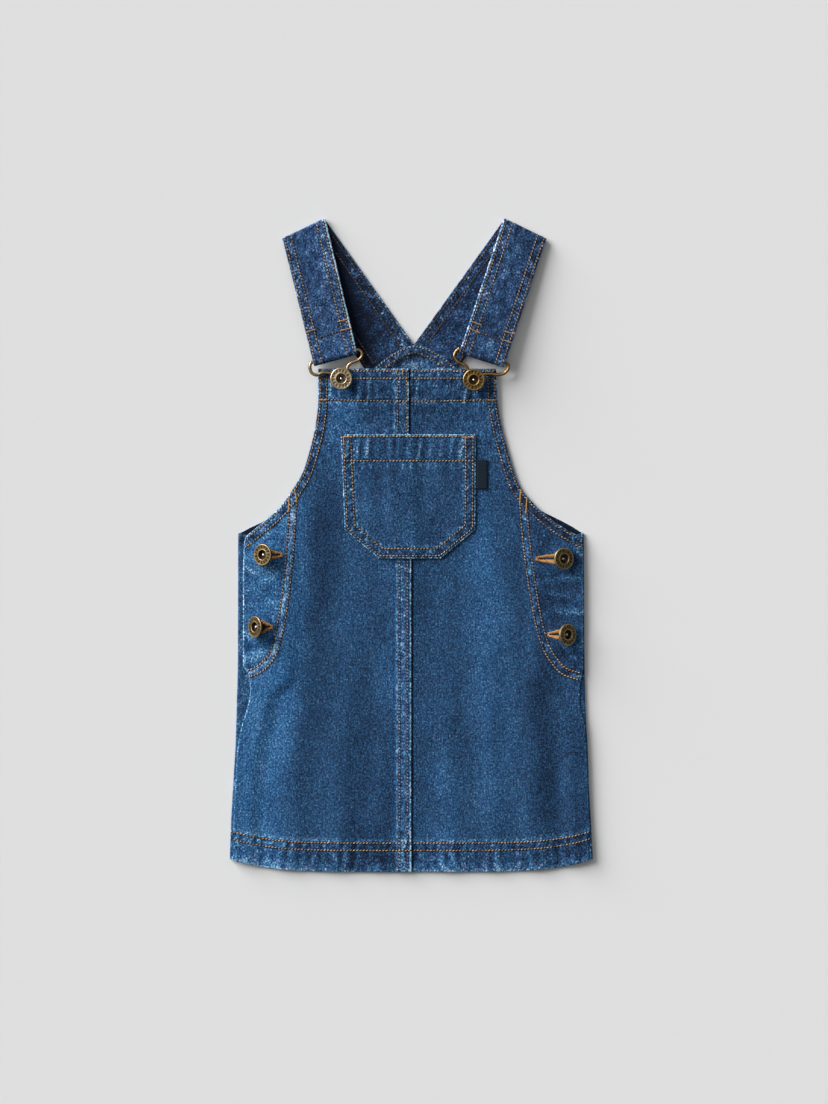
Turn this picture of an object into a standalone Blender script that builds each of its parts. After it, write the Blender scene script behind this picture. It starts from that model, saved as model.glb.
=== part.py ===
"""A small child's denim pinafore dress, laid flat on its back with the straps buckled over the bib.

+X runs to the right of the laid dress, +Y from the hem to the shoulders and +Z up from the surface.
The tables are in millimetres, their heights measured up from the lowest point of the hem. The origin
is under the middle of the laid dress.
"""

from math import cos, hypot, pi, radians, sin

import bmesh
import bpy
from mathutils import Vector

MM = 0.001

# Driving sizes
DRESS_LENGTH = 509.5
CLOTH = 1.1
STRAP_CLOTH = 2.0
GAP = 0.35
BUTTON_DIAMETER = 17.2
SHANK_DIAMETER = 5.0
WIRE_DIAMETER = 2.5
UNDERLAP_WIDTH = 32.0

# The pocket's folded tape: its width, its two ends' heights and its thickness
TAB_WIDTH = 8.2
TAB_ENDS = (298.5, 321.0)
TAB_THICKNESS = 1.2

# Columns of the edge tables
LEFT = 1
RIGHT = 2

# height, left fold, right fold: the outermost lines of the laid dress
SIDE_FOLDS = (
    (0.0, -141.5, 141.5),
    (35.5, -140.5, 140.0),
    (66.5, -139.0, 138.5),
    (99.5, -137.0, 137.3),
    (132.0, -136.0, 135.5),
    (165.0, -135.2, 135.0),
    (264.0, -135.0, 134.5),
)

# height, left edge, right edge: the back's armholes, from the side folds to the strap corners
BACK_ARMHOLES = (
    (264.0, -133.2, 132.7),
    (268.0, -126.0, 127.0),
    (274.0, -113.5, 116.0),
    (283.5, -99.0, 98.0),
    (292.0, -87.0, 89.5),
    (305.5, -75.5, 78.5),
    (317.0, -67.5, 72.5),
    (344.5, -55.5, 60.5),
    (374.0, -46.0, 52.0),
)

# height, left edge, right edge: the outer edges of the two front panels
FRONT_EDGES = (
    (0.0, -140.3, 140.3),
    (75.5, -136.6, 137.2),
    (95.0, -135.5, 136.3),
    (113.5, -132.0, 135.0),
    (129.0, -127.5, 131.5),
    (140.0, -125.5, 131.0),
    (153.5, -126.5, 133.0),
    (161.0, -131.0, 134.0),
    (227.5, -131.0, 134.0),
    (258.5, -130.0, 133.0),
    (267.5, -121.5, 119.5),
    (273.5, -114.0, 110.5),
    (287.0, -100.0, 95.5),
    (300.5, -91.0, 84.5),
    (310.5, -85.0, 80.5),
    (325.5, -80.0, 76.0),
    (349.0, -74.5, 70.0),
    (368.5, -72.5, 67.0),
    (392.0, -72.5, 66.0),
)

# height, left, right: how far the back's sides come round on top
UNDERLAPS = (
    (0.0, 8.0, 8.0),
    (100.0, 8.0, 8.0),
    (132.0, 14.0, 11.0),
    (150.0, 18.0, 14.0),
    (166.0, UNDERLAP_WIDTH, UNDERLAP_WIDTH),
    (264.0, UNDERLAP_WIDTH, UNDERLAP_WIDTH),
)

# The underlap's top edge slopes down towards the middle
UNDERLAP_TOP = (244.0, 264.0)
UNDERLAP_TOP_SLOPE = 0.28

# x at the hem, x at the top, height of its top, rise, half width: soft ridges down the skirt
SKIRT_RIDGES = (
    (-96.0, -84.0, 205.0, 1.3, 17.0),
    (-57.0, -46.0, 225.0, 1.0, 15.0),
    (-24.0, -20.0, 190.0, 0.8, 12.0),
    (31.0, 24.0, 215.0, 1.1, 15.0),
    (66.0, 58.0, 230.0, 0.9, 14.0),
    (101.0, 88.0, 195.0, 1.4, 17.0),
)

# height, left edge, right edge: the pocket's bottom, its clipped corners and its top
POCKET_EDGES = (
    (244.0, -25.5, 23.0),
    (266.5, -52.0, 50.0),
    (341.0, -55.0, 50.5),
)
# Where the pocket bends over the centre-front seam, from the seam's edge
POCKET_SEAM_COLUMNS = (-17.0, -15.5, -14.0, -12.5, 1.0, 2.5, 4.0, 6.0)
POCKET_SPREAD = 1.5

# name, x, height, lean from upright in degrees, x of the buttonhole's closed end
SIDE_BUTTONS = (
    ("side_button_left_upper", -116.0, 247.0, 35.0, -101.5),
    ("side_button_left_lower", -122.0, 191.0, 50.0, -109.0),
    ("side_button_right_upper", 119.0, 244.0, 27.0, 98.5),
    ("side_button_right_lower", 122.0, 185.0, 39.0, 107.5),
)

# name, x, height: the bib's buttons stand upright
BIB_BUTTONS = (
    ("bib_button_left", -54.5, 384.0),
    ("bib_button_right", 48.5, 383.0),
)

# radius, depth below the cap's face: half the section of a hollow-centred button with its tack tip
BUTTON_SECTION = (
    (0.0, -0.9),
    (0.9, -1.3),
    (1.3, -2.8),
    (3.3, -2.8),
    (4.3, 0.0),
    (7.4, -0.1),
    (BUTTON_DIAMETER / 2, -1.0),
    (8.0, -1.8),
    (SHANK_DIAMETER / 2, -3.3),
)
CAP_UNDERSIDE = 3.3
RIM_DEPTH = 1.6
LOW_RIM_CLEAR = 0.5

# Heights of the layers above the surface
BACK_MIDDLE = CLOTH / 2
UNDERLAP_MIDDLE = 2.55
SIDE_LIFT = UNDERLAP_MIDDLE + CLOTH / 2 + 0.55
FRONT_LIFT = CLOTH + 0.4
FACING_CLOTH = 1.0
STRAP_END_MIDDLE = CLOTH + GAP + STRAP_CLOTH / 2
FACING_HIGH_MIDDLE = STRAP_END_MIDDLE + STRAP_CLOTH / 2 + 0.4 + FACING_CLOTH / 2
FACING_LOW_MIDDLE = CLOTH + GAP + FACING_CLOTH / 2
BIB_LIFT = FACING_HIGH_MIDDLE + FACING_CLOTH / 2 + GAP
BIB_CORNER_LIFT = 3.3
BUCKLE_PLANE = 7.5

# Where the height of the front layer changes
BIB_LEVEL_FROM = 376.0
BIB_SLOPE_FROM = 345.0
# The bib is highest between these two ramps, over the facing and the ends of the straps
BIB_LEFT_RAMP = (-49.0, -40.0)
BIB_RIGHT_RAMP = (41.0, 48.0)
SIDE_RAMP = 14.0
SIDE_RAMP_CLEAR = 4.0
SIDE_FADE = (262.0, 290.0)
MOUND_RISE = 2.5
MOUND_RADIUS = 16.0
UNDERLAP_MOUND_RISE = 1.6

# The more a button leans, the further its shank reaches: length for each degree
SHANK_REACH = 1.0 / 6.0

# A buttonhole: half its width round the shank, its room for the lean, half its slit, and the
# heights between which it is cut
HOLE_WIDE = 3.4
HOLE_LEAN_ROOM = 5.4
HOLE_SLIT = 0.8
HOLE_CUT = (2.0, 10.0)

# The curved top of the back
ARCH_BASE = 374.0
ARCH_RISE = 36.5
ARCH_MIDDLE = 3.0
ARCH_HALF_WIDTH = 49.0
ARCH_POWER = 1.7
ARCH_BEND_FROM = 325.0

# The facing inside the arch: its width, its set-back from the edge, where it runs and where it
# climbs over the ends of the straps
FACING_WIDTH = 7.0
FACING_SET_BACK = 0.4
FACING_ENDS = (-44.5, 50.5)
FACING_LEFT_RAMP = (-43.0, -37.0)
FACING_RIGHT_RAMP = (37.5, 43.5)

# The hem's drop towards the middle
HEM_SIDE_RISE = 10.0
HEM_POWER = 5
HEM_BEND_TO = 60.0

# The lapped seam down the centre front, straight in the skirt and a little to the left in the bib
SEAM_SHIFT = -2.0
SEAM_SHIFT_BETWEEN = (243.0, 341.0)
LAP_WIDTH = 11.0
LAP_RAMP = 3.0
TUCK_WIDTH = 8.0
LAP_LIFT = CLOTH + GAP


def smooth(low, high, value):
    """0 below low, 1 above high and an even S between them."""
    share = min(1.0, max(0.0, (value - low) / (high - low)))
    return share * share * (3.0 - 2.0 * share)


def mix(start, end, share):
    return start + (end - start) * share


def read(table, column, height):
    """A table's column at a height, on a smooth curve that doesn't swing past its rows."""
    heights = [row[0] for row in table]
    values = [row[column] for row in table]
    if height <= heights[0]:
        return values[0]
    if height >= heights[-1]:
        return values[-1]
    slopes = [
        (values[i + 1] - values[i]) / (heights[i + 1] - heights[i]) for i in range(len(table) - 1)
    ]
    tangents = [slopes[0]]
    for before, after in zip(slopes, slopes[1:]):
        tangents.append(2.0 * before * after / (before + after) if before * after > 0.0 else 0.0)
    tangents.append(slopes[-1])
    i = max(k for k in range(len(table) - 1) if heights[k] <= height)
    step = heights[i + 1] - heights[i]
    t = (height - heights[i]) / step
    start = values[i] * (1.0 + 2.0 * t) * (1.0 - t) ** 2 + tangents[i] * step * t * (1.0 - t) ** 2
    end = values[i + 1] * (3.0 - 2.0 * t) * t**2 - tangents[i + 1] * step * (1.0 - t) * t**2
    return start + end


def steps(start, end, count):
    """Even places from start to end, both included."""
    return [mix(start, end, i / count) for i in range(count + 1)]


def hem_height(x):
    """The hem is lowest across the middle and rises to the side folds."""
    share = abs(x) / -SIDE_FOLDS[0][LEFT]
    return HEM_SIDE_RISE * share**HEM_POWER


def row_height(x, level):
    """A level row of the cloth, bent along the hem near the bottom."""
    return level + hem_height(x) * (1.0 - smooth(0.0, HEM_BEND_TO, level))


def arch_height(x):
    """How far the back's top rises over its two strap corners."""
    share = min(1.0, abs(x - ARCH_MIDDLE) / ARCH_HALF_WIDTH)
    return ARCH_RISE * (1.0 - share**ARCH_POWER)


def seam_x(level):
    """The folded edge of the centre-front seam, a little off the middle at the bib."""
    return mix(0.0, SEAM_SHIFT, smooth(*SEAM_SHIFT_BETWEEN, level))


def shank_foot(x, lean):
    """Where a leaning button's shank meets the underlap, inside of its face."""
    reach = SHANK_REACH * lean * sin(radians(lean))
    return x - reach if x > 0 else x + reach


def mound(x, level, rise):
    """The cloth is drawn up round the foot of each side button."""
    height = 0.0
    for _, face_x, face_level, lean, _ in SIDE_BUTTONS:
        away = hypot(x - shank_foot(face_x, lean), level - face_level)
        if away < MOUND_RADIUS:
            height += rise * cos(pi * away / (2.0 * MOUND_RADIUS)) ** 2
    return height


def side_lift(x, level):
    """1 where the front lies on the underlap, down to 0 further in."""
    column = LEFT if x < 0 else RIGHT
    from_fold = abs(read(SIDE_FOLDS, column, level)) - abs(x)
    widest = max(read(UNDERLAPS, column, near) for near in (level, level + SIDE_RAMP))
    reach = widest + SIDE_RAMP_CLEAR
    return (1.0 - smooth(reach, reach + SIDE_RAMP, from_fold)) * (1.0 - smooth(*SIDE_FADE, level))


def ridge_rise(x, level):
    """The soft ridges that run down the skirt and open towards the hem."""
    rise = 0.0
    for hem_x, top_x, top, height, half_width in SKIRT_RIDGES:
        middle = mix(hem_x, top_x, level / top)
        away = abs(x - middle)
        if level < top and away < half_width:
            rise += height * cos(pi * away / (2.0 * half_width)) ** 2 * (1.0 - smooth(top / 3.0, top, level))
    return rise


def front_underside(x, level):
    """Height of the front layer's underside over everything that lies below it."""
    bib = smooth(BIB_SLOPE_FROM, BIB_LEVEL_FROM, level)
    inner = smooth(*BIB_LEFT_RAMP, x) * (1.0 - smooth(*BIB_RIGHT_RAMP, x))
    bib_lift = mix(BIB_CORNER_LIFT, BIB_LIFT, inner) - FRONT_LIFT
    side = (SIDE_LIFT - FRONT_LIFT) * side_lift(x, level)
    return FRONT_LIFT + bib * bib_lift + side + mound(x, level, MOUND_RISE) + ridge_rise(x, level)


def lap_rise(x, level, spread=0.0):
    """The left front climbs over the right front's edge; spread clears what lies on it."""
    from_edge = seam_x(level) - x
    up = 1.0 - smooth(LAP_WIDTH + spread, LAP_WIDTH + LAP_RAMP + spread, from_edge)
    down = smooth(-spread - LAP_RAMP, -spread, from_edge) if spread else 1.0
    return LAP_LIFT * up * down


def finish(name, mesh, colour, roughness, metallic=0.0):
    """Links one named piece with its own material, placed so that the dress is centred."""
    piece = bpy.data.objects.new(name, mesh)
    piece.parent = dress
    bpy.context.scene.collection.objects.link(piece)
    material = bpy.data.materials.new(name)
    material.use_nodes = True
    shader = material.node_tree.nodes["Principled BSDF"]
    shader.inputs["Base Color"].default_value = (*colour, 1.0)
    shader.inputs["Roughness"].default_value = roughness
    shader.inputs["Metallic"].default_value = metallic
    mesh.materials.append(material)
    return piece


def cloth_piece(name, points, faces, thickness, colour):
    """One cut piece: its middle surface, thickened to a closed wall."""
    mesh = bpy.data.meshes.new(name)
    mesh.from_pydata([Vector(point) * MM for point in points], [], faces)
    piece = finish(name, mesh, colour, 0.85)
    wall = piece.modifiers.new("wall", "SOLIDIFY")
    wall.thickness = thickness * MM
    wall.offset = 0.0
    wall.use_even_offset = True
    return piece


def grid_piece(name, rows, thickness, colour):
    """A piece whose middle surface is a full grid of points, listed row by row from the bottom."""
    across = len(rows[0])
    faces = []
    for r in range(len(rows) - 1):
        for c in range(across - 1):
            corner = r * across + c
            faces.append((corner, corner + 1, corner + across + 1, corner + across))
    return cloth_piece(name, [point for row in rows for point in row], faces, thickness, colour)


def cut_buttonhole(panel, name, foot_x, level, end_x):
    """A drop-shaped hole through a front panel, wide round the shank and closed towards the middle."""
    outline = []
    away = 1.0 if end_x > foot_x else -1.0
    for turn in steps(pi / 2.0, 3.0 * pi / 2.0, 10):
        outline.append((foot_x + away * HOLE_LEAN_ROOM * cos(turn), level + HOLE_WIDE * sin(turn)))
    for turn in steps(-pi / 2.0, pi / 2.0, 4):
        outline.append((end_x + away * HOLE_SLIT * (cos(turn) - 1.0), level + HOLE_SLIT * sin(turn)))
    low, high = HOLE_CUT
    mesh = bpy.data.meshes.new(name)
    shape = bmesh.new()
    base = shape.faces.new([shape.verts.new((x * MM, y * MM, low * MM)) for x, y in outline])
    grown = bmesh.ops.extrude_face_region(shape, geom=[base])
    raised = [item for item in grown["geom"] if isinstance(item, bmesh.types.BMVert)]
    bmesh.ops.translate(shape, verts=raised, vec=(0.0, 0.0, (high - low) * MM))
    bmesh.ops.recalc_face_normals(shape, faces=shape.faces)
    shape.to_mesh(mesh)
    shape.free()
    cutter = bpy.data.objects.new(name, mesh)
    cutter.parent = dress
    cutter.hide_render = True
    cutter.display_type = "WIRE"
    bpy.context.scene.collection.objects.link(cutter)
    cut = panel.modifiers.new(name, "BOOLEAN")
    cut.operation = "DIFFERENCE"
    cut.object = cutter


FRONT_LEVELS = (
    steps(0.0, 150.0, 6)
    + steps(161.0, 262.0, 11)
    + steps(271.0, 301.0, 2)
    + [322.0, 345.0, 355.0, 366.0, 376.0, 392.0]
)
# Shares of a panel's width, closer together over the underlap
FRONT_COLUMNS = steps(0.0, 0.27, 6) + steps(0.27, 1.0, 9)[1:]


def front_panel_left():
    """The left half, bib and skirt in one, its centre edge folded over the right half."""
    rows = []
    for level in FRONT_LEVELS:
        outer = read(FRONT_EDGES, LEFT, level)
        edge = seam_x(level)
        lap_start = edge - LAP_WIDTH - LAP_RAMP
        places = [mix(outer, lap_start, share) for share in FRONT_COLUMNS]
        places += [edge - LAP_WIDTH, edge - LAP_WIDTH / 2.0, edge]
        row = []
        for x in places:
            z = front_underside(x, level) + lap_rise(x, level) + CLOTH / 2.0
            row.append((x, row_height(x, level), z))
        rows.append(row)
    return grid_piece("front_panel_left", rows, CLOTH, DENIM_BLUE)


def front_panel_right():
    """The right half, bib and skirt in one, its centre edge tucked under the lap."""
    rows = []
    for level in FRONT_LEVELS:
        outer = read(FRONT_EDGES, RIGHT, level)
        tuck = seam_x(level) - TUCK_WIDTH
        row = []
        for x in [mix(outer, tuck, share) for share in reversed(FRONT_COLUMNS)]:
            row.append((x, row_height(x, level), front_underside(x, level) + CLOTH / 2.0))
        rows.append(row)
    return grid_piece("front_panel_right", rows, CLOTH, DENIM_BLUE)


def back_panel():
    """The back, flat on the surface, its sides brought round on top as underlaps."""
    bend_radius = (UNDERLAP_MIDDLE - BACK_MIDDLE) / 2.0
    bend_middle = (UNDERLAP_MIDDLE + BACK_MIDDLE) / 2.0
    inset = bend_radius + CLOTH / 2.0
    side_top = SIDE_FOLDS[-1][0]
    side_levels = steps(0.0, 150.0, 5) + steps(161.0, side_top, 11)
    top_levels = [268.0, 274.0, 283.5, 292.0, 305.5, 322.0, 340.0, 357.0, ARCH_BASE]
    main_columns = 8
    bend_turns = 5
    underlap_columns = 5
    points = []
    place = {}

    def add(row, column, x, level, z):
        bend = smooth(ARCH_BEND_FROM, ARCH_BASE, level)
        place[row, column] = len(points)
        points.append((x, row_height(x, level) + arch_height(x) * bend, z))

    def add_side(row, level, column, side, first, step):
        """The bend round the side fold and the underlap on top of it."""
        fold = read(SIDE_FOLDS, column, level)
        centre = fold - side * inset
        for turn in steps(0.0, pi, bend_turns)[1:]:
            x = centre + side * bend_radius * sin(turn)
            add(row, first, x, level, bend_middle - bend_radius * cos(turn))
            first += step
        reach = read(UNDERLAPS, column, level) - inset
        for inward in steps(0.0, reach, underlap_columns)[1:]:
            x = centre - side * inward
            dip = UNDERLAP_TOP_SLOPE * inward * smooth(*UNDERLAP_TOP, level)
            add(row, first, x, level - dip, UNDERLAP_MIDDLE + mound(x, level, UNDERLAP_MOUND_RISE))
            first += step

    side_columns = bend_turns + underlap_columns
    for row, level in enumerate(side_levels + top_levels):
        if level <= side_top:
            left = read(SIDE_FOLDS, LEFT, level) + inset
            right = read(SIDE_FOLDS, RIGHT, level) - inset
        else:
            left = read(BACK_ARMHOLES, LEFT, level)
            right = read(BACK_ARMHOLES, RIGHT, level)
        for column, x in enumerate(steps(left, right, main_columns)):
            add(row, column, x, level, BACK_MIDDLE)
        if level <= side_top:
            add_side(row, level, LEFT, -1.0, -1, -1)
            add_side(row, level, RIGHT, 1.0, main_columns + 1, 1)
    faces = []
    for row in range(len(side_levels) + len(top_levels) - 1):
        for column in range(-side_columns, main_columns + side_columns):
            corners = [(row, column), (row + 1, column), (row + 1, column + 1), (row, column + 1)]
            if all(corner in place for corner in corners):
                faces.append([place[corner] for corner in corners])
    return cloth_piece("back_panel", points, faces, CLOTH, DENIM_DARK)


def back_neck_facing():
    """The curved band inside the back's top edge, lying over the ends of the straps."""
    rows = [[], [], []]
    for x in steps(*FACING_ENDS, 24):
        slope = arch_height(x + 0.5) - arch_height(x - 0.5)
        across = Vector((slope, -1.0)).normalized()
        covered = smooth(*FACING_LEFT_RAMP, x) * (1.0 - smooth(*FACING_RIGHT_RAMP, x))
        z = mix(FACING_LOW_MIDDLE, FACING_HIGH_MIDDLE, covered)
        for row, depth in zip(rows, steps(FACING_WIDTH, FACING_SET_BACK, 2)):
            row.append((x + across.x * depth, ARCH_BASE + arch_height(x) + across.y * depth, z))
    return grid_piece("back_neck_facing", rows, FACING_CLOTH, DENIM_DARK)


def pocket_row(share, lower, upper):
    """Height, left edge and right edge on the straight sides between two of the pocket's corners."""
    return [mix(start, end, share) for start, end in zip(lower, upper)]


def chest_pocket():
    """A patch pocket over both halves, with its two lower corners cut off."""
    bottom, clipped, top = POCKET_EDGES
    levels = [pocket_row(share, bottom, clipped) for share in steps(0.0, 1.0, 2)]
    levels += [pocket_row(share, clipped, top) for share in steps(0.0, 1.0, 3)[1:]]
    rows = []
    for level, left, right in levels:
        edge = seam_x(level)
        over_seam = [edge + away for away in POCKET_SEAM_COLUMNS]
        row = []
        for x in steps(left, over_seam[0], 3)[:-1] + over_seam + steps(over_seam[-1], right, 3)[1:]:
            z = FRONT_LIFT + CLOTH + GAP + CLOTH / 2.0 + lap_rise(x, level, spread=POCKET_SPREAD)
            row.append((x, level, z))
        rows.append(row)
    return grid_piece("chest_pocket", rows, CLOTH, DENIM_BLUE)


def pocket_tab():
    """A folded tape whose ends are caught at the pocket's right edge."""
    left = POCKET_EDGES[-1][RIGHT] + 0.4
    z = FRONT_LIFT + CLOTH + GAP + TAB_THICKNESS / 2.0
    rows = [[(left, level, z), (left + TAB_WIDTH, level, z)] for level in TAB_ENDS]
    return grid_piece("pocket_tab", rows, TAB_THICKNESS, TAPE_NAVY)


# x and height of a strap's corners, as laid: the shoulder crease, the buckled end and the back end
STRAPS = {
    "strap_left": {
        "crease": ((-101.0, 493.5), (-67.5, 509.5)),
        "end": ((-75.5, 393.5), (-41.5, 403.0)),
        "arch": ((-34.0, 388.0), (1.7, 411.2)),
        "caught": ((-32.0, 385.5), (1.7, 407.5)),
    },
    "strap_right": {
        "crease": ((105.5, 493.5), (72.5, 509.5)),
        "end": ((72.0, 392.6), (37.0, 403.5)),
        "arch": ((36.0, 391.8), (2.3, 411.2)),
        "caught": ((34.0, 389.3), (2.3, 407.5)),
    },
}
SHOULDER_BEND = 1.6
BAR_BEND = WIRE_DIAMETER / 2 + GAP + STRAP_CLOTH / 2
STRAP_TAIL = 27.0
STRAP_TAIL_RISE = 1.4
# How far up from the arch the strap comes down to the surface, and its stations up to the shoulder
STRAP_DROP = (5.0, 14.0)
STRAP_STATIONS = (0.0, 5.0, 8.0, 11.0, 14.0, 45.0, 78.0)


def pair(corners):
    return [Vector(corner) for corner in corners]


def upward(outer, inner, away_from):
    """The direction square to a crease, on its side away from a point."""
    across = (inner - outer).normalized()
    square = Vector((-across.y, across.x))
    return square if (outer - away_from).dot(square) > 0 else -square


def bar_line(name):
    """The axis of the buckle's bar inside a strap's looped end, and the way down the strap."""
    outer, inner = pair(STRAPS[name]["end"])
    down = upward(outer, inner, pair(STRAPS[name]["crease"])[0])
    inset = BAR_BEND + STRAP_CLOTH / 2.0
    return outer - down * inset, inner - down * inset, down


def strap(name):
    """From under the facing, along the surface, over the shoulder crease and round the buckle bar."""
    crease_outer, crease_inner = pair(STRAPS[name]["crease"])
    arch_outer, arch_inner = pair(STRAPS[name]["arch"])
    caught_outer, caught_inner = pair(STRAPS[name]["caught"])
    up = upward(crease_outer, crease_inner, arch_outer)
    inset = SHOULDER_BEND + STRAP_CLOTH / 2.0
    fold_outer = crease_outer - up * inset
    fold_inner = crease_inner - up * inset
    low = STRAP_CLOTH / 2.0
    stations = [(caught_outer, caught_inner, STRAP_END_MIDDLE)]
    length = (fold_outer - arch_outer).length
    for away in STRAP_STATIONS:
        share = away / length
        z = mix(STRAP_END_MIDDLE, low, smooth(*STRAP_DROP, away))
        stations.append((arch_outer.lerp(fold_outer, share), arch_inner.lerp(fold_inner, share), z))
    for turn in steps(0.0, pi, 8):
        out = up * SHOULDER_BEND * sin(turn)
        z = low + SHOULDER_BEND * (1.0 - cos(turn))
        stations.append((fold_outer + out, fold_inner + out, z))
    bar_outer, bar_inner, down = bar_line(name)
    top = low + 2.0 * SHOULDER_BEND
    for share in steps(0.0, 1.0, 5)[1:-1]:
        z = mix(top, BUCKLE_PLANE + BAR_BEND, share)
        stations.append((fold_outer.lerp(bar_outer, share), fold_inner.lerp(bar_inner, share), z))
    for turn in steps(0.0, pi, 8):
        out = down * BAR_BEND * sin(turn)
        z = BUCKLE_PLANE + BAR_BEND * cos(turn)
        stations.append((bar_outer + out, bar_inner + out, z))
    tail_share = STRAP_TAIL / (fold_outer - bar_outer).length
    for share in steps(0.0, 1.0, 2)[1:]:
        z = BUCKLE_PLANE - BAR_BEND + STRAP_TAIL_RISE * share
        outer = bar_outer.lerp(fold_outer, tail_share * share)
        inner = bar_inner.lerp(fold_inner, tail_share * share)
        stations.append((outer, inner, z))
    rows = []
    for outer, inner, z in stations:
        middle = (outer + inner) / 2.0
        rows.append([(point.x, point.y, z) for point in (outer, middle, inner)])
    if name == "strap_left":
        rows.reverse()
    return grid_piece(name, rows, STRAP_CLOTH, DENIM_INDIGO)


def rounded_path(corners, count):
    """Even samples of the closed smooth curve through a few corners."""
    path = []
    total = len(corners)
    for i in range(total):
        before, start, end, after = (corners[(i + k) % total] for k in (-1, 0, 1, 2))
        for t in steps(0.0, 1.0, count)[:-1]:
            path.append(
                0.5
                * (
                    2.0 * start
                    + (end - before) * t
                    + (2.0 * before - 5.0 * start + 4.0 * end - after) * t**2
                    + (3.0 * start - before - 3.0 * end + after) * t**3
                )
            )
    return path


def buckle(name, strap_name, shank, inner_side, outer_side):
    """A closed wire: the bar in the strap's loop, two shoulders and a keyhole round the button."""
    bar_past = 1.1
    keyhole_past = 0.15
    bar_outer, bar_inner, _ = bar_line(strap_name)
    along = (bar_inner - bar_outer).normalized()
    reach = (SHANK_DIAMETER + WIRE_DIAMETER) / 2.0 + 2.0 * GAP
    centre = Vector(shank)
    toward = 1.0 if inner_side[0][0] > shank[0] else -1.0
    turns = steps(keyhole_past, -pi - keyhole_past, 6)
    keyhole = [centre + reach * Vector((toward * cos(turn), sin(turn))) for turn in turns]
    bar = [bar_outer, bar_outer.lerp(bar_inner, 0.5), bar_inner]
    bar = [bar_outer - along * bar_past] + bar + [bar_inner + along * bar_past]
    corners = bar + pair(inner_side) + keyhole + pair(outer_side)
    curve = bpy.data.curves.new(name, "CURVE")
    curve.dimensions = "3D"
    curve.bevel_depth = WIRE_DIAMETER / 2.0 * MM
    curve.bevel_resolution = 2
    path = rounded_path(corners, 2)
    line = curve.splines.new("POLY")
    line.points.add(len(path) - 1)
    line.use_cyclic_u = True
    for point, target in zip(line.points, path):
        point.co = (target.x * MM, target.y * MM, BUCKLE_PLANE * MM, 1.0)
    return finish(name, curve, BRASS, 0.35, 1.0)


def button(name, face, lean, shank_end):
    """A turned button: cap with a hollow middle, tack tip and shank down to the cloth."""
    profile = list(BUTTON_SECTION) + [(SHANK_DIAMETER / 2.0, -shank_end), (0.0, -shank_end)]
    shape = bmesh.new()
    rim = [shape.verts.new((radius * MM, 0.0, depth * MM)) for radius, depth in profile]
    edges = [shape.edges.new(ends) for ends in zip(rim, rim[1:])]
    bmesh.ops.spin(
        shape, geom=rim + edges, cent=(0, 0, 0), axis=(0, 0, 1), angle=2.0 * pi, steps=16, use_merge=True
    )
    bmesh.ops.remove_doubles(shape, verts=shape.verts, dist=0.001 * MM)
    bmesh.ops.recalc_face_normals(shape, faces=shape.faces)
    mesh = bpy.data.meshes.new(name)
    shape.to_mesh(mesh)
    shape.free()
    mesh.shade_smooth()
    mesh.set_sharp_from_angle(angle=radians(35.0))
    piece = finish(name, mesh, BRASS, 0.4, 1.0)
    piece.rotation_euler = (0.0, radians(lean), 0.0)
    piece.location = Vector(face) * MM
    return piece


def bib_button(name, x, level):
    """Upright, its shank down to the bib and its cap over the buckle's keyhole."""
    foot = SHANK_DIAMETER / 2.0
    cloth_top = max(front_underside(near, level) for near in (x - foot, x, x + foot)) + CLOTH
    face_z = BUCKLE_PLANE + WIRE_DIAMETER / 2.0 + GAP + CAP_UNDERSIDE
    return button(name, (x, level, face_z), 0.0, face_z - cloth_top - GAP)


def side_button(name, x, level, lean):
    """Leaning out over the side fold, its shank down through the buttonhole to the underlap."""
    side = 1.0 if x > 0 else -1.0
    tilt = radians(lean)
    low_x = x + side * BUTTON_DIAMETER / 2.0 * cos(tilt)
    low_cloth = front_underside(low_x, level) + CLOTH
    face_z = low_cloth + LOW_RIM_CLEAR + BUTTON_DIAMETER / 2.0 * sin(tilt) + RIM_DEPTH * cos(tilt)
    foot_x = shank_foot(x, lean)
    underlap_top = UNDERLAP_MIDDLE + CLOTH / 2.0 + mound(foot_x, level, UNDERLAP_MOUND_RISE)
    shank_base = underlap_top + GAP + SHANK_DIAMETER / 2.0 * sin(tilt)
    return button(name, (x, level, face_z), side * lean, (face_z - shank_base) / cos(tilt))


DENIM_BLUE = (0.065, 0.130, 0.270)
DENIM_DARK = (0.020, 0.040, 0.085)
DENIM_INDIGO = (0.050, 0.080, 0.190)
TAPE_NAVY = (0.010, 0.016, 0.028)
BRASS = (0.420, 0.300, 0.140)

for item in list(bpy.data.objects):
    bpy.data.objects.remove(item)

dress = bpy.data.objects.new("dress", None)
dress.location = (0.0, -DRESS_LENGTH / 2.0 * MM, 0.0)
bpy.context.scene.collection.objects.link(dress)

back_panel()
back_neck_facing()
panels = {-1.0: front_panel_left(), 1.0: front_panel_right()}
chest_pocket()
pocket_tab()

for strap_name in STRAPS:
    strap(strap_name)

buckle(
    "buckle_left",
    "strap_left",
    (-54.5, 384.0),
    [(-38.7, 404.6), (-38.6, 401.2), (-41.8, 398.4), (-46.8, 396.2), (-49.6, 393.2)],
    [(-61.5, 388.0), (-68.5, 388.8), (-73.5, 386.9), (-77.4, 388.6), (-78.8, 392.2), (-78.6, 395.2)],
)
buckle(
    "buckle_right",
    "strap_right",
    (48.5, 383.0),
    [(34.4, 404.8), (33.5, 401.4), (35.6, 397.6), (40.0, 395.2), (43.6, 392.4)],
    [(56.0, 387.2), (62.0, 387.8), (67.5, 387.1), (72.2, 388.2), (75.1, 391.2), (75.6, 394.0)],
)

for button_name, button_x, button_level in BIB_BUTTONS:
    bib_button(button_name, button_x, button_level)

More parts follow.
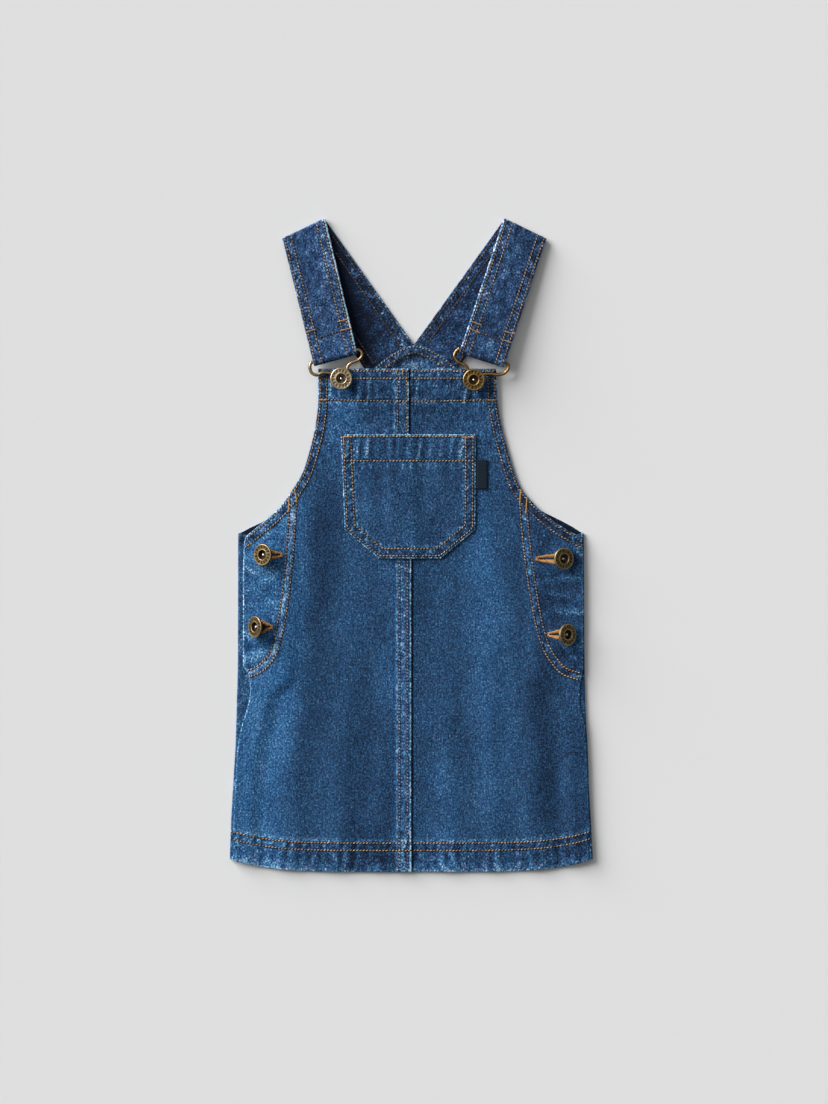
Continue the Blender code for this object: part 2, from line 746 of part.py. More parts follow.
for button_name, button_x, button_level, button_tilt, hole_end in SIDE_BUTTONS:
    side_button(button_name, button_x, button_level, button_tilt)
    foot = shank_foot(button_x, button_tilt)
    hole_panel = panels[1.0 if button_x > 0 else -1.0]
    cut_buttonhole(hole_panel, button_name + "_hole", foot, button_level, hole_end)
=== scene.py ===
"""A small child's denim pinafore dress, laid flat on its back with its straps buckled over the bib.

The dress is put together from the back to the front: back and facing, the two fronts, pocket and
tab, straps, buckles and buttons. Sizes are in millimetres: x runs to the right from the middle of
the laid dress, h up from the lowest point of the hem and z up from the surface.
"""

from math import cos, hypot, pi, radians, sin

import bpy
import numpy as np
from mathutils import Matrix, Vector
from mathutils.bvhtree import BVHTree


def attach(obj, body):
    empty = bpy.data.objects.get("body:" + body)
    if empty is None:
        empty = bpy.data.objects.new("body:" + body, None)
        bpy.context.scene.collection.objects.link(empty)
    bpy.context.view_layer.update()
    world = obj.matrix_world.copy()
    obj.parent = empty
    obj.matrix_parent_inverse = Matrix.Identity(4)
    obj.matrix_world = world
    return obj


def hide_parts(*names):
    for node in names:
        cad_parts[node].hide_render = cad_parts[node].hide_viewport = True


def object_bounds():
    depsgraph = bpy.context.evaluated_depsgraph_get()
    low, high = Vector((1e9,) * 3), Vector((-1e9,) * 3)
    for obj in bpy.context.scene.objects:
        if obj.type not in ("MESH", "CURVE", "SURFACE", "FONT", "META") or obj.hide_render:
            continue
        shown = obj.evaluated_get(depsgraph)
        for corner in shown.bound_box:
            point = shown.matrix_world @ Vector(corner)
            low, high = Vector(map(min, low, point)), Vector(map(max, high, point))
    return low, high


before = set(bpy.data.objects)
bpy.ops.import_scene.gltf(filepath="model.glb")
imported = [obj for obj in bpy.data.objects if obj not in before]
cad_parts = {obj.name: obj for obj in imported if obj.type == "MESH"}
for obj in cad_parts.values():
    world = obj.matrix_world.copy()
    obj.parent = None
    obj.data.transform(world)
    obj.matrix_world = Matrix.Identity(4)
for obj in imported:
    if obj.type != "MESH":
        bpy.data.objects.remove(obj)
cad_low, cad_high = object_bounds()


# ---------------------------------------------------------------------------------------------
# The table and the light: a plain pale surface under one broad window, low on the left towards the
# straps, with its sill's low light under it and a wide soft ceiling that fills the shadows. The
# camera looks straight down.

MM = 0.001
VIEW_TALL = 861.0
VIEW_MIDDLE = (2.1, -5.5)
CAMERA_HEIGHT = 3000.0
TABLE_SIDE = 9000.0
TABLE_WHITE = 0.745
ROOM_WHITE = (0.93, 0.935, 0.94, 1.0)
ROOM_STRENGTH = 0.06

# bearing, height and width in degrees, strength
LIGHTS = {
    "window": (146.0, 24.0, 46.0, 4.85),
    "sill": (130.0, 9.5, 22.0, 1.60),
    "ceiling": (120.0, 72.0, 100.0, 0.72),
}


def in_scene(name, data):
    """A new object of the scene, made of a mesh, a lamp or a camera's lens."""
    thing = bpy.data.objects.new(name, data)
    bpy.context.scene.collection.objects.link(thing)
    return thing


def made(name, points, faces, material, **facts):
    """A piece from its points in metres and its faces. Each fact has a number, or a place in the
    cloth, for every point, which the material reads."""
    mesh = bpy.data.meshes.new(name)
    mesh.from_pydata(points.tolist(), [], faces)
    mesh.shade_smooth()
    for fact, values in facts.items():
        kind, member = ("FLOAT", "value") if values.ndim == 1 else ("FLOAT_VECTOR", "vector")
        if member == "vector":
            values = np.column_stack([values, np.zeros(len(values))])
        field = mesh.attributes.new(fact, kind, "POINT")
        field.data.foreach_set(member, values.astype(np.float32).ravel())
    mesh.materials.append(material)
    return in_scene(name, mesh)


def add(tree, kind, inputs=None, **settings):
    """One shader node; an input is a number, a colour or the output of another node."""
    node = tree.nodes.new("ShaderNode" + kind)
    for name, value in settings.items():
        setattr(node, name, value)
    for name, value in (inputs or {}).items():
        if isinstance(value, bpy.types.NodeSocket):
            tree.links.new(value, node.inputs[name])
        else:
            node.inputs[name].default_value = value
    return node


def surface(name, **values):
    """A material with one Principled shader, its sockets set to the values given."""
    material = bpy.data.materials.new(name)
    material.use_nodes = True
    shader = material.node_tree.nodes["Principled BSDF"]
    for socket, value in values.items():
        shader.inputs[socket.replace("_", " ")].default_value = value
    return material, material.node_tree, shader


def tinted(tree, share, first, second, kind="MIX"):
    """One colour mixed with, or multiplied by, another by a share."""
    inputs = {"Factor": share, 6: first, 7: second}
    return add(tree, "Mix", inputs, data_type="RGBA", blend_type=kind).outputs[2]


def lay_table():
    half = TABLE_SIDE / 2.0 * MM
    paper, tree, shader = surface("paper", Roughness=0.9, Specular_IOR_Level=0.1)
    cloud = add(tree, "TexNoise", {"Scale": 3.0, "Detail": 1.0}).outputs["Fac"]
    dull, pale = ((*[TABLE_WHITE * share] * 3, 1.0) for share in (0.995, 1.005))
    tree.links.new(tinted(tree, cloud, dull, pale), shader.inputs["Base Color"])
    corners = np.array([(-half, -half, 0.0), (half, -half, 0.0), (half, half, 0.0), (-half, half, 0.0)])
    made("table", corners, [(0, 1, 2, 3)], paper)


def light_up(name, bearing, height, wide, strength):
    """Even light from far off: bearing and height of its middle and its width, in degrees."""
    lamp = bpy.data.lights.new(name, "SUN")
    lamp.angle = radians(wide)
    lamp.energy = strength
    level = cos(radians(height))
    way = Vector((level * cos(radians(bearing)), level * sin(radians(bearing)), sin(radians(height))))
    holder = in_scene(name, lamp)
    holder.rotation_euler = way.to_track_quat("Z", "Y").to_euler()
    holder.location = way * 2.0


lay_table()
for name, facts in LIGHTS.items():
    light_up(name, *facts)

room = bpy.data.worlds.new("room")
room.use_nodes = True
room.node_tree.nodes["Background"].inputs["Color"].default_value = ROOM_WHITE
room.node_tree.nodes["Background"].inputs["Strength"].default_value = ROOM_STRENGTH
bpy.context.scene.world = room

lens = bpy.data.cameras.new("overhead")
lens.sensor_width = 36.0
lens.lens = lens.sensor_width * CAMERA_HEIGHT / VIEW_TALL
lens.clip_end = 100.0
overhead = in_scene("overhead", lens)
overhead.location = (VIEW_MIDDLE[0] * MM, VIEW_MIDDLE[1] * MM, CAMERA_HEIGHT * MM)
bpy.context.scene.camera = overhead
bpy.context.scene.view_settings.view_transform = "Standard"


# ---------------------------------------------------------------------------------------------
# The back: one piece of stonewashed denim twill, its outside down on the table. Its sides come
# round to the front, as button stands at the openings and as seam edges below them; its armholes
# and arched top are turned in and topstitched with two rows.

CLOTH = 1.1
HEM_ROWS = (16.7, 22.4)
EDGE_ROWS = (1.7, 6.7)
STITCH_PITCH = 2.55
STITCH_COVER = (0.45, 0.52)
STITCH_UNEVEN = (0.93, 1.07)
STITCH_SLANT = (0.42, 0.60)
BRIGHT_STITCHES = (0.68, 0.85)
LINE_STEP = 0.6
BAR_PITCH = 0.42
THREAD_WIDTH = 0.76
NEEDLE_HOLE = 1.75
OUTSIDE_THREAD = 0.62
OUTSIDE_LIFT = 0.05
OUTSIDE_ROWS_ABOVE = 0.36
UNDER_DRESS, OVER_DRESS = -20.0 * MM, 80.0 * MM
HEM_RISE = 10.0
HEM_HALF = 141.5
HEM_BENT_BELOW = 60.0
FOLD_TOP = 264.0
BACK_TOP = 374.0
BACK_CORNERS = (-46.0, 52.0)
ARCH_MIDDLE = 3.0
ARCH_HALF = 49.0
ARCH_RISE = 36.5
ARCH_CURVE = 1.7
ARCH_FROM = 325.0
STAND_MIDDLE = 2.55
STAND_MOUND = 1.6
MOUND_RADIUS = 16.0
STAND_TOP = (244.0, 264.0)
STAND_TOP_SLOPE = 0.28
FAR = 1000.0
WAVES = 2048

# height, left fold, right fold: the outermost lines of the laid dress
SIDE_FOLDS = (
    (0.0, -141.5, 141.5),
    (35.5, -140.5, 140.0),
    (66.5, -139.0, 138.5),
    (99.5, -137.0, 137.3),
    (132.0, -136.0, 135.5),
    (165.0, -135.2, 135.0),
    (FOLD_TOP, -135.0, 134.5),
)

# height, left edge, right edge
BACK_ARMHOLES = (
    (FOLD_TOP, -133.2, 132.7),
    (268.0, -126.0, 127.0),
    (274.0, -113.5, 116.0),
    (283.5, -99.0, 98.0),
    (292.0, -87.0, 89.5),
    (305.5, -75.5, 78.5),
    (317.0, -67.5, 72.5),
    (344.5, -55.5, 60.5),
    (BACK_TOP, -46.0, 52.0),
)

# height, width on the left and right: how far the sides come round on top
SIDE_STANDS = (
    (0.0, 8.0, 8.0),
    (100.0, 8.0, 8.0),
    (132.0, 14.0, 11.0),
    (150.0, 18.0, 14.0),
    (166.0, 32.0, 32.0),
    (FOLD_TOP, 32.0, 32.0),
)

# name, x, height, lean from upright in degrees, x of the buttonhole's closed end
SIDE_BUTTONS = (
    ("side_button_left_upper", -116.0, 247.0, 35.0, -101.5),
    ("side_button_left_lower", -122.0, 191.0, 50.0, -109.0),
    ("side_button_right_upper", 119.0, 244.0, 27.0, 98.5),
    ("side_button_right_lower", 122.0, 185.0, 39.0, 107.5),
)


def ease(low, high, value):
    """0 below low, 1 above high and an even S between them."""
    share = np.clip((value - low) / (high - low), 0.0, 1.0)
    return share * share * (3.0 - 2.0 * share)


def mix(start, end, share):
    return start + (end - start) * share


def bell(away, wide):
    """1 on a line, falling softly to 0 about two widths away from it."""
    return np.exp(-((away / wide) ** 2))


def crest(wave):
    """The part of a wave that is above 0."""
    return np.maximum(wave, 0.0)


def within(low, high, soft, value):
    """1 between low and high, falling softly to 0 outside."""
    return ease(low - soft, low + soft, value) * (1.0 - ease(high - soft, high + soft, value))


def unit(ways):
    """Directions, each made 1 long."""
    return ways / np.maximum(np.linalg.norm(ways, axis=-1, keepdims=True), 1e-9)


def lengths(line):
    """How far along a line each of its points is."""
    return np.concatenate([[0.0], np.cumsum(np.linalg.norm(np.diff(line, axis=0), axis=1))])


def at_places(place, along, values):
    """A line's values at some places along it."""
    return np.stack([np.interp(place, along, column) for column in values.T], axis=1)


def evenly(line, step):
    """A line's points again, about a step apart."""
    line = np.asarray(line, float)
    along = lengths(line)
    return at_places(np.linspace(0.0, along[-1], max(2, round(along[-1] / step) + 1)), along, line)


def inset(line, distance):
    """A line moved sideways to its left by a distance."""
    way = unit(np.gradient(line, axis=0))
    return line + distance * np.stack([-way[:, 1], way[:, 0]], axis=1)


def from_line(line, x, h):
    """Each point's distance from a line, and how far along the line its nearest place is."""
    nearest = np.full(np.shape(x), 1e9)
    along = np.zeros(np.shape(x))
    run = 0.0
    for (ax, ah), (bx, bh) in zip(line, line[1:]):
        length = hypot(bx - ax, bh - ah)
        if length < 1e-9:
            continue
        share = np.clip(((x - ax) * (bx - ax) + (h - ah) * (bh - ah)) / length**2, 0.0, 1.0)
        away = np.hypot(x - ax - share * (bx - ax), h - ah - share * (bh - ah))
        closer = away < nearest
        nearest = np.where(closer, away, nearest)
        along = np.where(closer, run + share * length, along)
        run += length
    return nearest, along


def drawn(table, column, height):
    """A table's column at any heights, on a smooth line that doesn't swing past its rows."""
    rows = np.array(table)
    at, value = rows[:, 0], rows[:, column]
    step = np.diff(at)
    slope = np.diff(value) / step
    before, after = slope[:-1], slope[1:]
    even = np.where(before * after > 0.0, before * after, 0.0)
    total = np.where(before + after == 0.0, 1.0, before + after)
    tangent = np.concatenate([slope[:1], 2.0 * even / total, slope[-1:]])
    height = np.clip(height, at[0], at[-1])
    i = np.clip(np.searchsorted(at, height, side="right") - 1, 0, len(step) - 1)
    t = (height - at[i]) / step[i]
    start = value[i] * (1.0 + 2.0 * t) * (1.0 - t) ** 2 + tangent[i] * step[i] * t * (1.0 - t) ** 2
    end = value[i + 1] * (3.0 - 2.0 * t) * t**2 - tangent[i + 1] * step[i] * (1.0 - t) * t**2
    return start + end


def places(start, end, step, fine=(0.0, 0.2, 0.5, 0.95, 1.6, 2.4, 3.4)):
    """Places from start to end, close together near both ends, where an edge turns over."""
    near = start + np.array(fine)
    far = end - np.array(fine)[::-1]
    count = max(2, round((far[0] - near[-1]) / step))
    return np.concatenate([near[:-1], np.linspace(near[-1], far[0], count + 1), far[1:]])


def waver(along, pitch, seed):
    """An uneven wave between -1 and 1: crests and troughs a pitch apart, no two alike."""
    source = np.random.default_rng(seed)
    heights = source.uniform(0.25, 1.0, WAVES) * np.where(np.arange(WAVES) % 2, -1.0, 1.0)
    shifts = source.uniform(-0.3, 0.3, WAVES)
    steps = np.asarray(along, float) / pitch
    near = np.floor(steps).astype(int) % WAVES
    steps = steps + mix(shifts[near], shifts[(near + 1) % WAVES], steps - np.floor(steps))
    whole = np.floor(steps).astype(int)
    return mix(heights[whole % WAVES], heights[(whole + 1) % WAVES], ease(0.0, 1.0, steps - whole))


def rumple(x, h, wide, tall, seed):
    """Soft unevenness between -1 and 1 over a surface, in swells of a given width and height."""
    heights = np.random.default_rng(seed).uniform(-1.0, 1.0, (128, 128))
    c, r = np.asarray(x) / wide, np.asarray(h) / tall
    c0, r0 = np.floor(c).astype(int), np.floor(r).astype(int)
    across, up = ease(0.0, 1.0, c - c0), ease(0.0, 1.0, r - r0)
    low, high = (
        mix(heights[row % 128, c0 % 128], heights[row % 128, (c0 + 1) % 128], across)
        for row in (r0, r0 + 1)
    )
    return mix(low, high, up)


def turned_edge(distance, thickness):
    """How much lower a folded edge is than the cloth's face, a distance in from the fold."""
    radius = thickness / 2.0
    share = np.clip(1.0 - distance / radius, 0.0, 1.0)
    return radius * (1.0 - np.sqrt(crest(1.0 - share**2)))


def hem_height(x):
    """The hem is lowest across the middle and rises to the side folds."""
    return HEM_RISE * (np.abs(x) / HEM_HALF) ** 5


def hem_bend(x, level):
    """A level row of the cloth, bent along the hem near the bottom."""
    return level + hem_height(x) * (1.0 - ease(0.0, HEM_BENT_BELOW, level))


def arch(x):
    """How far the back's top rises over its two strap corners."""
    share = np.minimum(1.0, np.abs(x - ARCH_MIDDLE) / ARCH_HALF)
    return ARCH_RISE * (1.0 - share**ARCH_CURVE)


def on_table(points):
    """Points of the laid dress in metres, where the frame has them."""
    placed = np.array(points, float) * MM
    placed[..., 1] += cad_low.y
    return placed


def belongs(piece, slot, *nodes):
    """Hides the frame's parts for the nodes that a finished piece stands for and hangs it under the
    root. slot is not used.
    """
    if nodes:
        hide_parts(*nodes)
    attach(piece, "root")
    return piece


def cloth_shell(name, top, bottom, material, grain, kept=None, mirrored=False, **facts):
    """One cut piece: two faces of cloth from rows of points, closed all round their edges.

    Each fact is what the finish needs: wear, darkness from dye and from painted shade, mottling, and
    fading from wash and from painted light; one value or array for both faces, or one each for the
    upper and the lower. grain is the place in the cloth in mm."""
    rows, columns = top.shape[:2]
    total = rows * columns

    def listed(values):
        values = np.broadcast_to(values, (rows, columns))
        return (values[:, ::-1] if mirrored else values).reshape(-1)

    if kept is None:
        kept = np.ones((rows - 1, columns - 1), bool)
    number = np.arange(total).reshape(rows, columns)
    r, c = np.nonzero(kept)
    upper = np.stack([number[r, c], number[r, c + 1], number[r + 1, c + 1], number[r + 1, c]], axis=1)
    starts = upper.ravel()
    ends = np.roll(upper, -1, axis=1).ravel()
    open_edge = ~np.isin(starts * total + ends, ends * total + starts)
    a, b = starts[open_edge], ends[open_edge]
    rim = np.stack([b, a, a + total, b + total], axis=1)
    used, faces = np.unique(np.concatenate([upper, upper[:, ::-1] + total, rim]), return_inverse=True)
    points = [np.stack([listed(face[..., k]) for k in range(3)], axis=1) for face in (top, bottom)]
    fields = {"grain": np.tile(np.stack([listed(place) for place in grain], axis=1), (2, 1))[used]}
    for fact, values in facts.items():
        faces_of = values if isinstance(values, tuple) else (values, values)
        fields[fact] = np.concatenate([listed(face) for face in faces_of])[used]
    points = on_table(np.concatenate(points)[used])
    return made(name, points, faces.reshape(-1, 4).tolist(), material, **fields)


def maths(tree, operation, *values):
    return add(tree, "Math", dict(enumerate(values)), operation=operation).outputs[0]


def sums(tree, *terms):
    """The sum of some outputs, each times a weight."""
    total = 0.0
    for output, weight in terms:
        total = maths(tree, "MULTIPLY_ADD", output, weight, total)
    return total


def centred(tree, output):
    return maths(tree, "SUBTRACT", output, 0.5)


def read(tree, fact, output="Fac"):
    """What a mesh says of its points."""
    return add(tree, "Attribute", attribute_name=fact).outputs[output]


def noise(tree, place, scale, detail, dimensions="3D", **inputs):
    """A cloudy texture around 0.5, at places in the cloth or round a piece."""
    inputs = {"Vector": place, "Scale": scale, "Detail": detail, **inputs}
    return add(tree, "TexNoise", inputs, noise_dimensions=dimensions).outputs["Fac"]


def shaded(tree, level, *stops):
    """The colour at a level from 0 to 1, on a scale of a few colours and their places."""
    ramp = add(tree, "ValToRGB", {"Fac": level})
    scale = ramp.color_ramp.elements
    scale[0].color = (*stops[0][1], 1.0)
    scale[1].color = (*stops[-1][1], 1.0)
    for at, colour in stops[1:-1]:
        scale.new(at).color = (*colour, 1.0)
    return ramp.outputs["Color"]


def finished(tree, shader, colour, relief, strength, depth):
    """Gives a surface its colour and its fine relief, with the relief's depth in mm."""
    tree.links.new(colour, shader.inputs["Base Color"])
    bump = add(tree, "Bump", {"Height": relief, "Strength": strength, "Distance": depth * MM})
    tree.links.new(bump.outputs[0], shader.inputs["Normal"])


def denim(name, tone, violet):
    """Stonewashed cotton twill: indigo warp with pale weft showing through as salt and pepper, in
    steep twill lines, rubbed pale where it is worn and left dark in its folds."""
    material, tree, shader = surface(
        name, Roughness=0.88, Specular_IOR_Level=0.14, Sheen_Weight=0.05, Sheen_Roughness=0.5
    )
    worn, deep, mottled, faded = (read(tree, fact) for fact in ("worn", "deep", "mottled", "faded"))
    grain = read(tree, "grain", "Vector")

    def scaled(across, along):
        inputs = {"Vector": grain, "Scale": (1.0 / across, 1.0 / along, 1.0)}
        return add(tree, "Mapping", inputs).outputs[0]

    def texture(across, along, detail, roughness=0.5):
        return centred(tree, noise(tree, scaled(across, along), 1.0, detail, "2D", Roughness=roughness))

    yarn = add(tree, "TexVoronoi", {"Vector": scaled(0.95, 1.25), "Scale": 1.0}, voronoi_dimensions="2D")
    tuft = add(tree, "SeparateColor", {"Color": yarn.outputs["Color"]}).outputs["Red"]
    fleck = sums(tree, (texture(1.18, 1.42, 1.0), 0.72), (centred(tree, tuft), 0.22))
    slub = texture(0.9, 12.0, 1.0)
    blotch = texture(8.0, 12.0, 2.0)
    line = add(tree, "Mapping", {"Vector": grain, "Rotation": (0.0, 0.0, radians(27.0))}).outputs[0]
    inputs = {"Vector": line, "Scale": 0.29, "Distortion": 1.2, "Detail": 1.0, "Detail Scale": 3.0}
    weave = centred(tree, add(tree, "TexWave", inputs).outputs["Fac"])
    pepper = maths(tree, "MULTIPLY", fleck, maths(tree, "MULTIPLY_ADD", mottled, 0.35, 1.0))
    rub = maths(tree, "MULTIPLY", worn, maths(tree, "MULTIPLY_ADD", fleck, 1.6, 0.9))
    level = sums(
        tree,
        (pepper, 1.05),
        (texture(0.32, 0.40, 1.0), 0.22),
        (slub, 0.20),
        (texture(20.0, 42.0, 2.0, 0.6), 0.16),
        (maths(tree, "MULTIPLY", texture(5.4, 7.0, 2.0, 0.55), mottled), 0.90),
        (weave, 0.06),
        (rub, 0.42),
        # the fading fact carries painted light as well as washing
        (faded, 0.16),
        # the darkening fact carries painted shade as well as unfaded indigo
        (deep, -0.34),
    )
    indigo = shaded(
        tree,
        maths(tree, "ADD", level, tone),
        (0.00, (0.0032, 0.0075, 0.0180)),
        (0.22, (0.0074, 0.0265, 0.0680)),
        (0.42, (0.0178, 0.0670, 0.1580)),
        (0.60, (0.0420, 0.1350, 0.2830)),
        (0.80, (0.1600, 0.3050, 0.4600)),
        (1.00, (0.6000, 0.6900, 0.7600)),
    )
    stain = sums(tree, (blotch, 1.6), (mottled, 0.60), (rub, -0.90))
    patch = maths(tree, "MULTIPLY", blotch, mottled)
    tints = (
        (maths(tree, "ADD", stain, violet), (1.30, 0.91, 0.96, 1.0)),
        (sums(tree, (patch, -3.4), (rub, 0.40)), (0.80, 1.07, 1.02, 1.0)),
        (faded, (0.70, 0.96, 1.10, 1.0)),
    )
    for amount, tint in tints:
        share = add(tree, "Clamp", {"Value": amount}).outputs[0]
        indigo = tinted(tree, share, indigo, tint, "MULTIPLY")
    relief = sums(tree, (fleck, 0.5), (slub, 0.35), (weave, 0.3))
    finished(tree, shader, indigo, relief, 0.45, 0.2)
    return material


def ground_of(piece):
    """A tree to find the face of a finished piece from above or below."""
    mesh = piece.data
    points = np.empty(len(mesh.vertices) * 3)
    mesh.vertices.foreach_get("co", points)
    corners = np.empty(len(mesh.loops), int)
    mesh.loops.foreach_get("vertex_index", corners)
    return BVHTree.FromPolygons(points.reshape(-1, 3).tolist(), corners.reshape(-1, 4).tolist())


def laid(line, ground, below=False):
    """A line of points (x, h) laid on a piece's face: places in mm and the cloth's direction there."""
    way = Vector((0.0, 0.0, 1.0 if below else -1.0))
    found, facing = [], []
    for x, h in evenly(line, LINE_STEP):
        start = Vector((x * MM, h * MM + cad_low.y, UNDER_DRESS if below else OVER_DRESS))
        place, normal, _, _ = ground.ray_cast(start, way)
        if place is not None:
            found.append((x, h, place.z / MM))
            facing.append(-normal if normal.dot(way) > 0.0 else normal)
    return np.array(found), np.array(facing)


def threads(starts, ends, facing, width, lift, shades, rings=5, sides=6, sink=0.3, flat=1.0):
    """Short threads from starts to ends, bowed up from the cloth, as one closed mesh's parts."""
    count = len(starts)
    length = np.linalg.norm(ends - starts, axis=1, keepdims=True)
    across = unit(np.cross(facing, (ends - starts) / np.maximum(length, 1e-9)))
    share = np.linspace(0.0, 1.0, rings)
    bow = np.sqrt(crest(np.sin(pi * share)))
    rise = lift * bow - sink * (1.0 - bow)
    middle = starts[:, None, :] + (ends - starts)[:, None, :] * share[None, :, None]
    middle = middle + facing[:, None, :] * rise[None, :, None]
    turn = 2.0 * pi * np.arange(sides) / sides
    spoke = across[:, None, :] * np.cos(turn)[None, :, None]
    spoke = spoke + flat * facing[:, None, :] * np.sin(turn)[None, :, None]
    size = width / 2.0 * (0.35 + 0.65 * bow)
    points = (middle[:, :, None, :] + spoke[:, None, :, :] * size[None, :, None, None]).reshape(-1, 3)
    number = np.arange(len(points)).reshape(count, rings, sides)
    after = np.roll(number, -1, axis=2)
    quads = np.stack([number[:, :-1], after[:, :-1], after[:, 1:], number[:, 1:]], axis=-1)
    caps = np.concatenate([number[:, 0, ::-1], number[:, -1]])
    wound = np.repeat(share[None, :, None] * length[:, :, None], sides, axis=2).reshape(-1)
    wound = np.stack([wound, np.tile(turn * width / 2.0, count * rings)], axis=1)
    return points, quads.reshape(-1, 4), caps, np.repeat(shades, rings * sides), wound


def thread_piece(name, parts):
    """All the threads of one piece of the dress, joined."""
    faces, base = [], 0
    for points, quads, caps, _, _ in parts:
        faces += (quads + base).tolist() + (caps + base).tolist()
        base += len(points)
    points, _, _, shade, wound = zip(*parts)
    points = on_table(np.concatenate(points))
    shade, wound = np.concatenate(shade), np.concatenate(wound)
    belongs(made(name, points, faces, thread, shade=shade, wound=wound), "thread")


def topstitch(points, facing, seed, tone=0.42, bright=0.0, width=THREAD_WIDTH, lift=0.16):
    """One row of topstitching along a laid line: slanted stitches, and a dark dent between each two of
    them where the needle went in, dark with painted shadow and unfaded indigo."""
    source = np.random.default_rng(seed)
    along = lengths(points)
    count = max(1, round(along[-1] / STITCH_PITCH))
    pitch = along[-1] / count
    middle = (np.arange(count) + 0.5) * pitch
    half = pitch * mix(*STITCH_COVER, min(1.0, bright / 0.3)) * source.uniform(*STITCH_UNEVEN, count)
    normal = unit(at_places(middle, along, facing))
    first, last = (at_places(middle + reach, along, points) for reach in (-half, half))
    across = unit(np.cross(normal, last - first))
    slant = across * source.uniform(*STITCH_SLANT, count)[:, None]
    shades = np.clip(source.normal(tone, 0.10, count), min(0.16, tone), 0.60)
    shades = np.where(source.random(count) < bright, source.uniform(*BRIGHT_STITCHES, count), shades)
    sewn = threads(first - slant, last + slant, normal, width, lift, shades, flat=0.8)
    gap = np.arange(count + 1) * pitch
    first, last = (at_places(gap + reach, along, points) for reach in (-pitch / 2.0, pitch / 2.0))
    normal = unit(at_places(gap, along, facing))
    # Painted shadow: each needle hollow is a flat, nearly black lens on the cloth
    dent_shadows = threads(first, last, normal, NEEDLE_HOLE, 0.75 * lift, 0.0 * gap, rings=4, sink=0.1, flat=0.16)
    return [sewn, dent_shadows]


def bartack(start, end, ground, wide=1.2, shade=0.86):
    """A dense bar of short stitches that locks the end of a row."""
    points, facing = laid(np.array([start, end]), ground)
    along = lengths(points)
    place = np.linspace(0.0, along[-1], max(4, round(along[-1] / BAR_PITCH)))
    middle, normal = at_places(place, along, points), at_places(place, along, facing)
    way = unit(points[-1] - points[0])
    reach = unit(np.cross(normal, way)) * wide / 2.0 + 0.18 * way
    shades = shade + 0.12 * waver(place, 0.8, 5)
    return threads(middle - reach, middle + reach, normal, 0.5, 0.3, shades, rings=5, sides=5, sink=0.15)


def sewing_thread():
    """Cotton-wrapped thread, tan to cream where it is washed out and gold to orange where it is
    dense; its darkest colour, for the dent at each needle hole, is painted shadow and unfaded indigo."""
    material, tree, shader = surface("thread", Roughness=0.7, Specular_IOR_Level=0.2)
    wound = read(tree, "wound", "Vector")
    turned = add(tree, "Mapping", {"Vector": wound, "Rotation": (0.0, 0.0, radians(38.0))}).outputs[0]
    ply = add(tree, "TexWave", {"Vector": turned, "Scale": 0.75, "Distortion": 0.6}).outputs["Fac"]
    fuzz = centred(tree, noise(tree, wound, 2.5, 2.0, "2D"))
    colour = shaded(
        tree,
        sums(tree, (read(tree, "shade"), 1.0), (fuzz, 0.14)),
        (0.00, (0.017, 0.016, 0.0235)),
        (0.10, (0.019, 0.018, 0.026)),
        (0.18, (0.102, 0.088, 0.077)),
        (0.34, (0.242, 0.212, 0.180)),
        (0.46, (0.380, 0.335, 0.285)),
        (0.60, (0.545, 0.485, 0.415)),
        (0.74, (0.530, 0.310, 0.128)),
        (1.00, (0.500, 0.215, 0.048)),
    )
    finished(tree, shader, colour, ply, 0.5, 0.1)
    return material


thread = sewing_thread()


def shank_foot(x, lean):
    """Where a leaning button's shank meets the stand, inside of its face."""
    reach = lean / 6.0 * sin(radians(lean))
    return x - reach if x > 0 else x + reach


def mound(x, h, rise):
    """The cloth is drawn up round the foot of each side button."""
    height = np.zeros(np.shape(x))
    for _, face_x, face_h, lean, _ in SIDE_BUTTONS:
        away = np.hypot(x - shank_foot(face_x, lean), h - face_h)
        height += rise * np.cos(pi / 2.0 * np.minimum(away / MOUND_RADIUS, 1.0)) ** 2
    return height


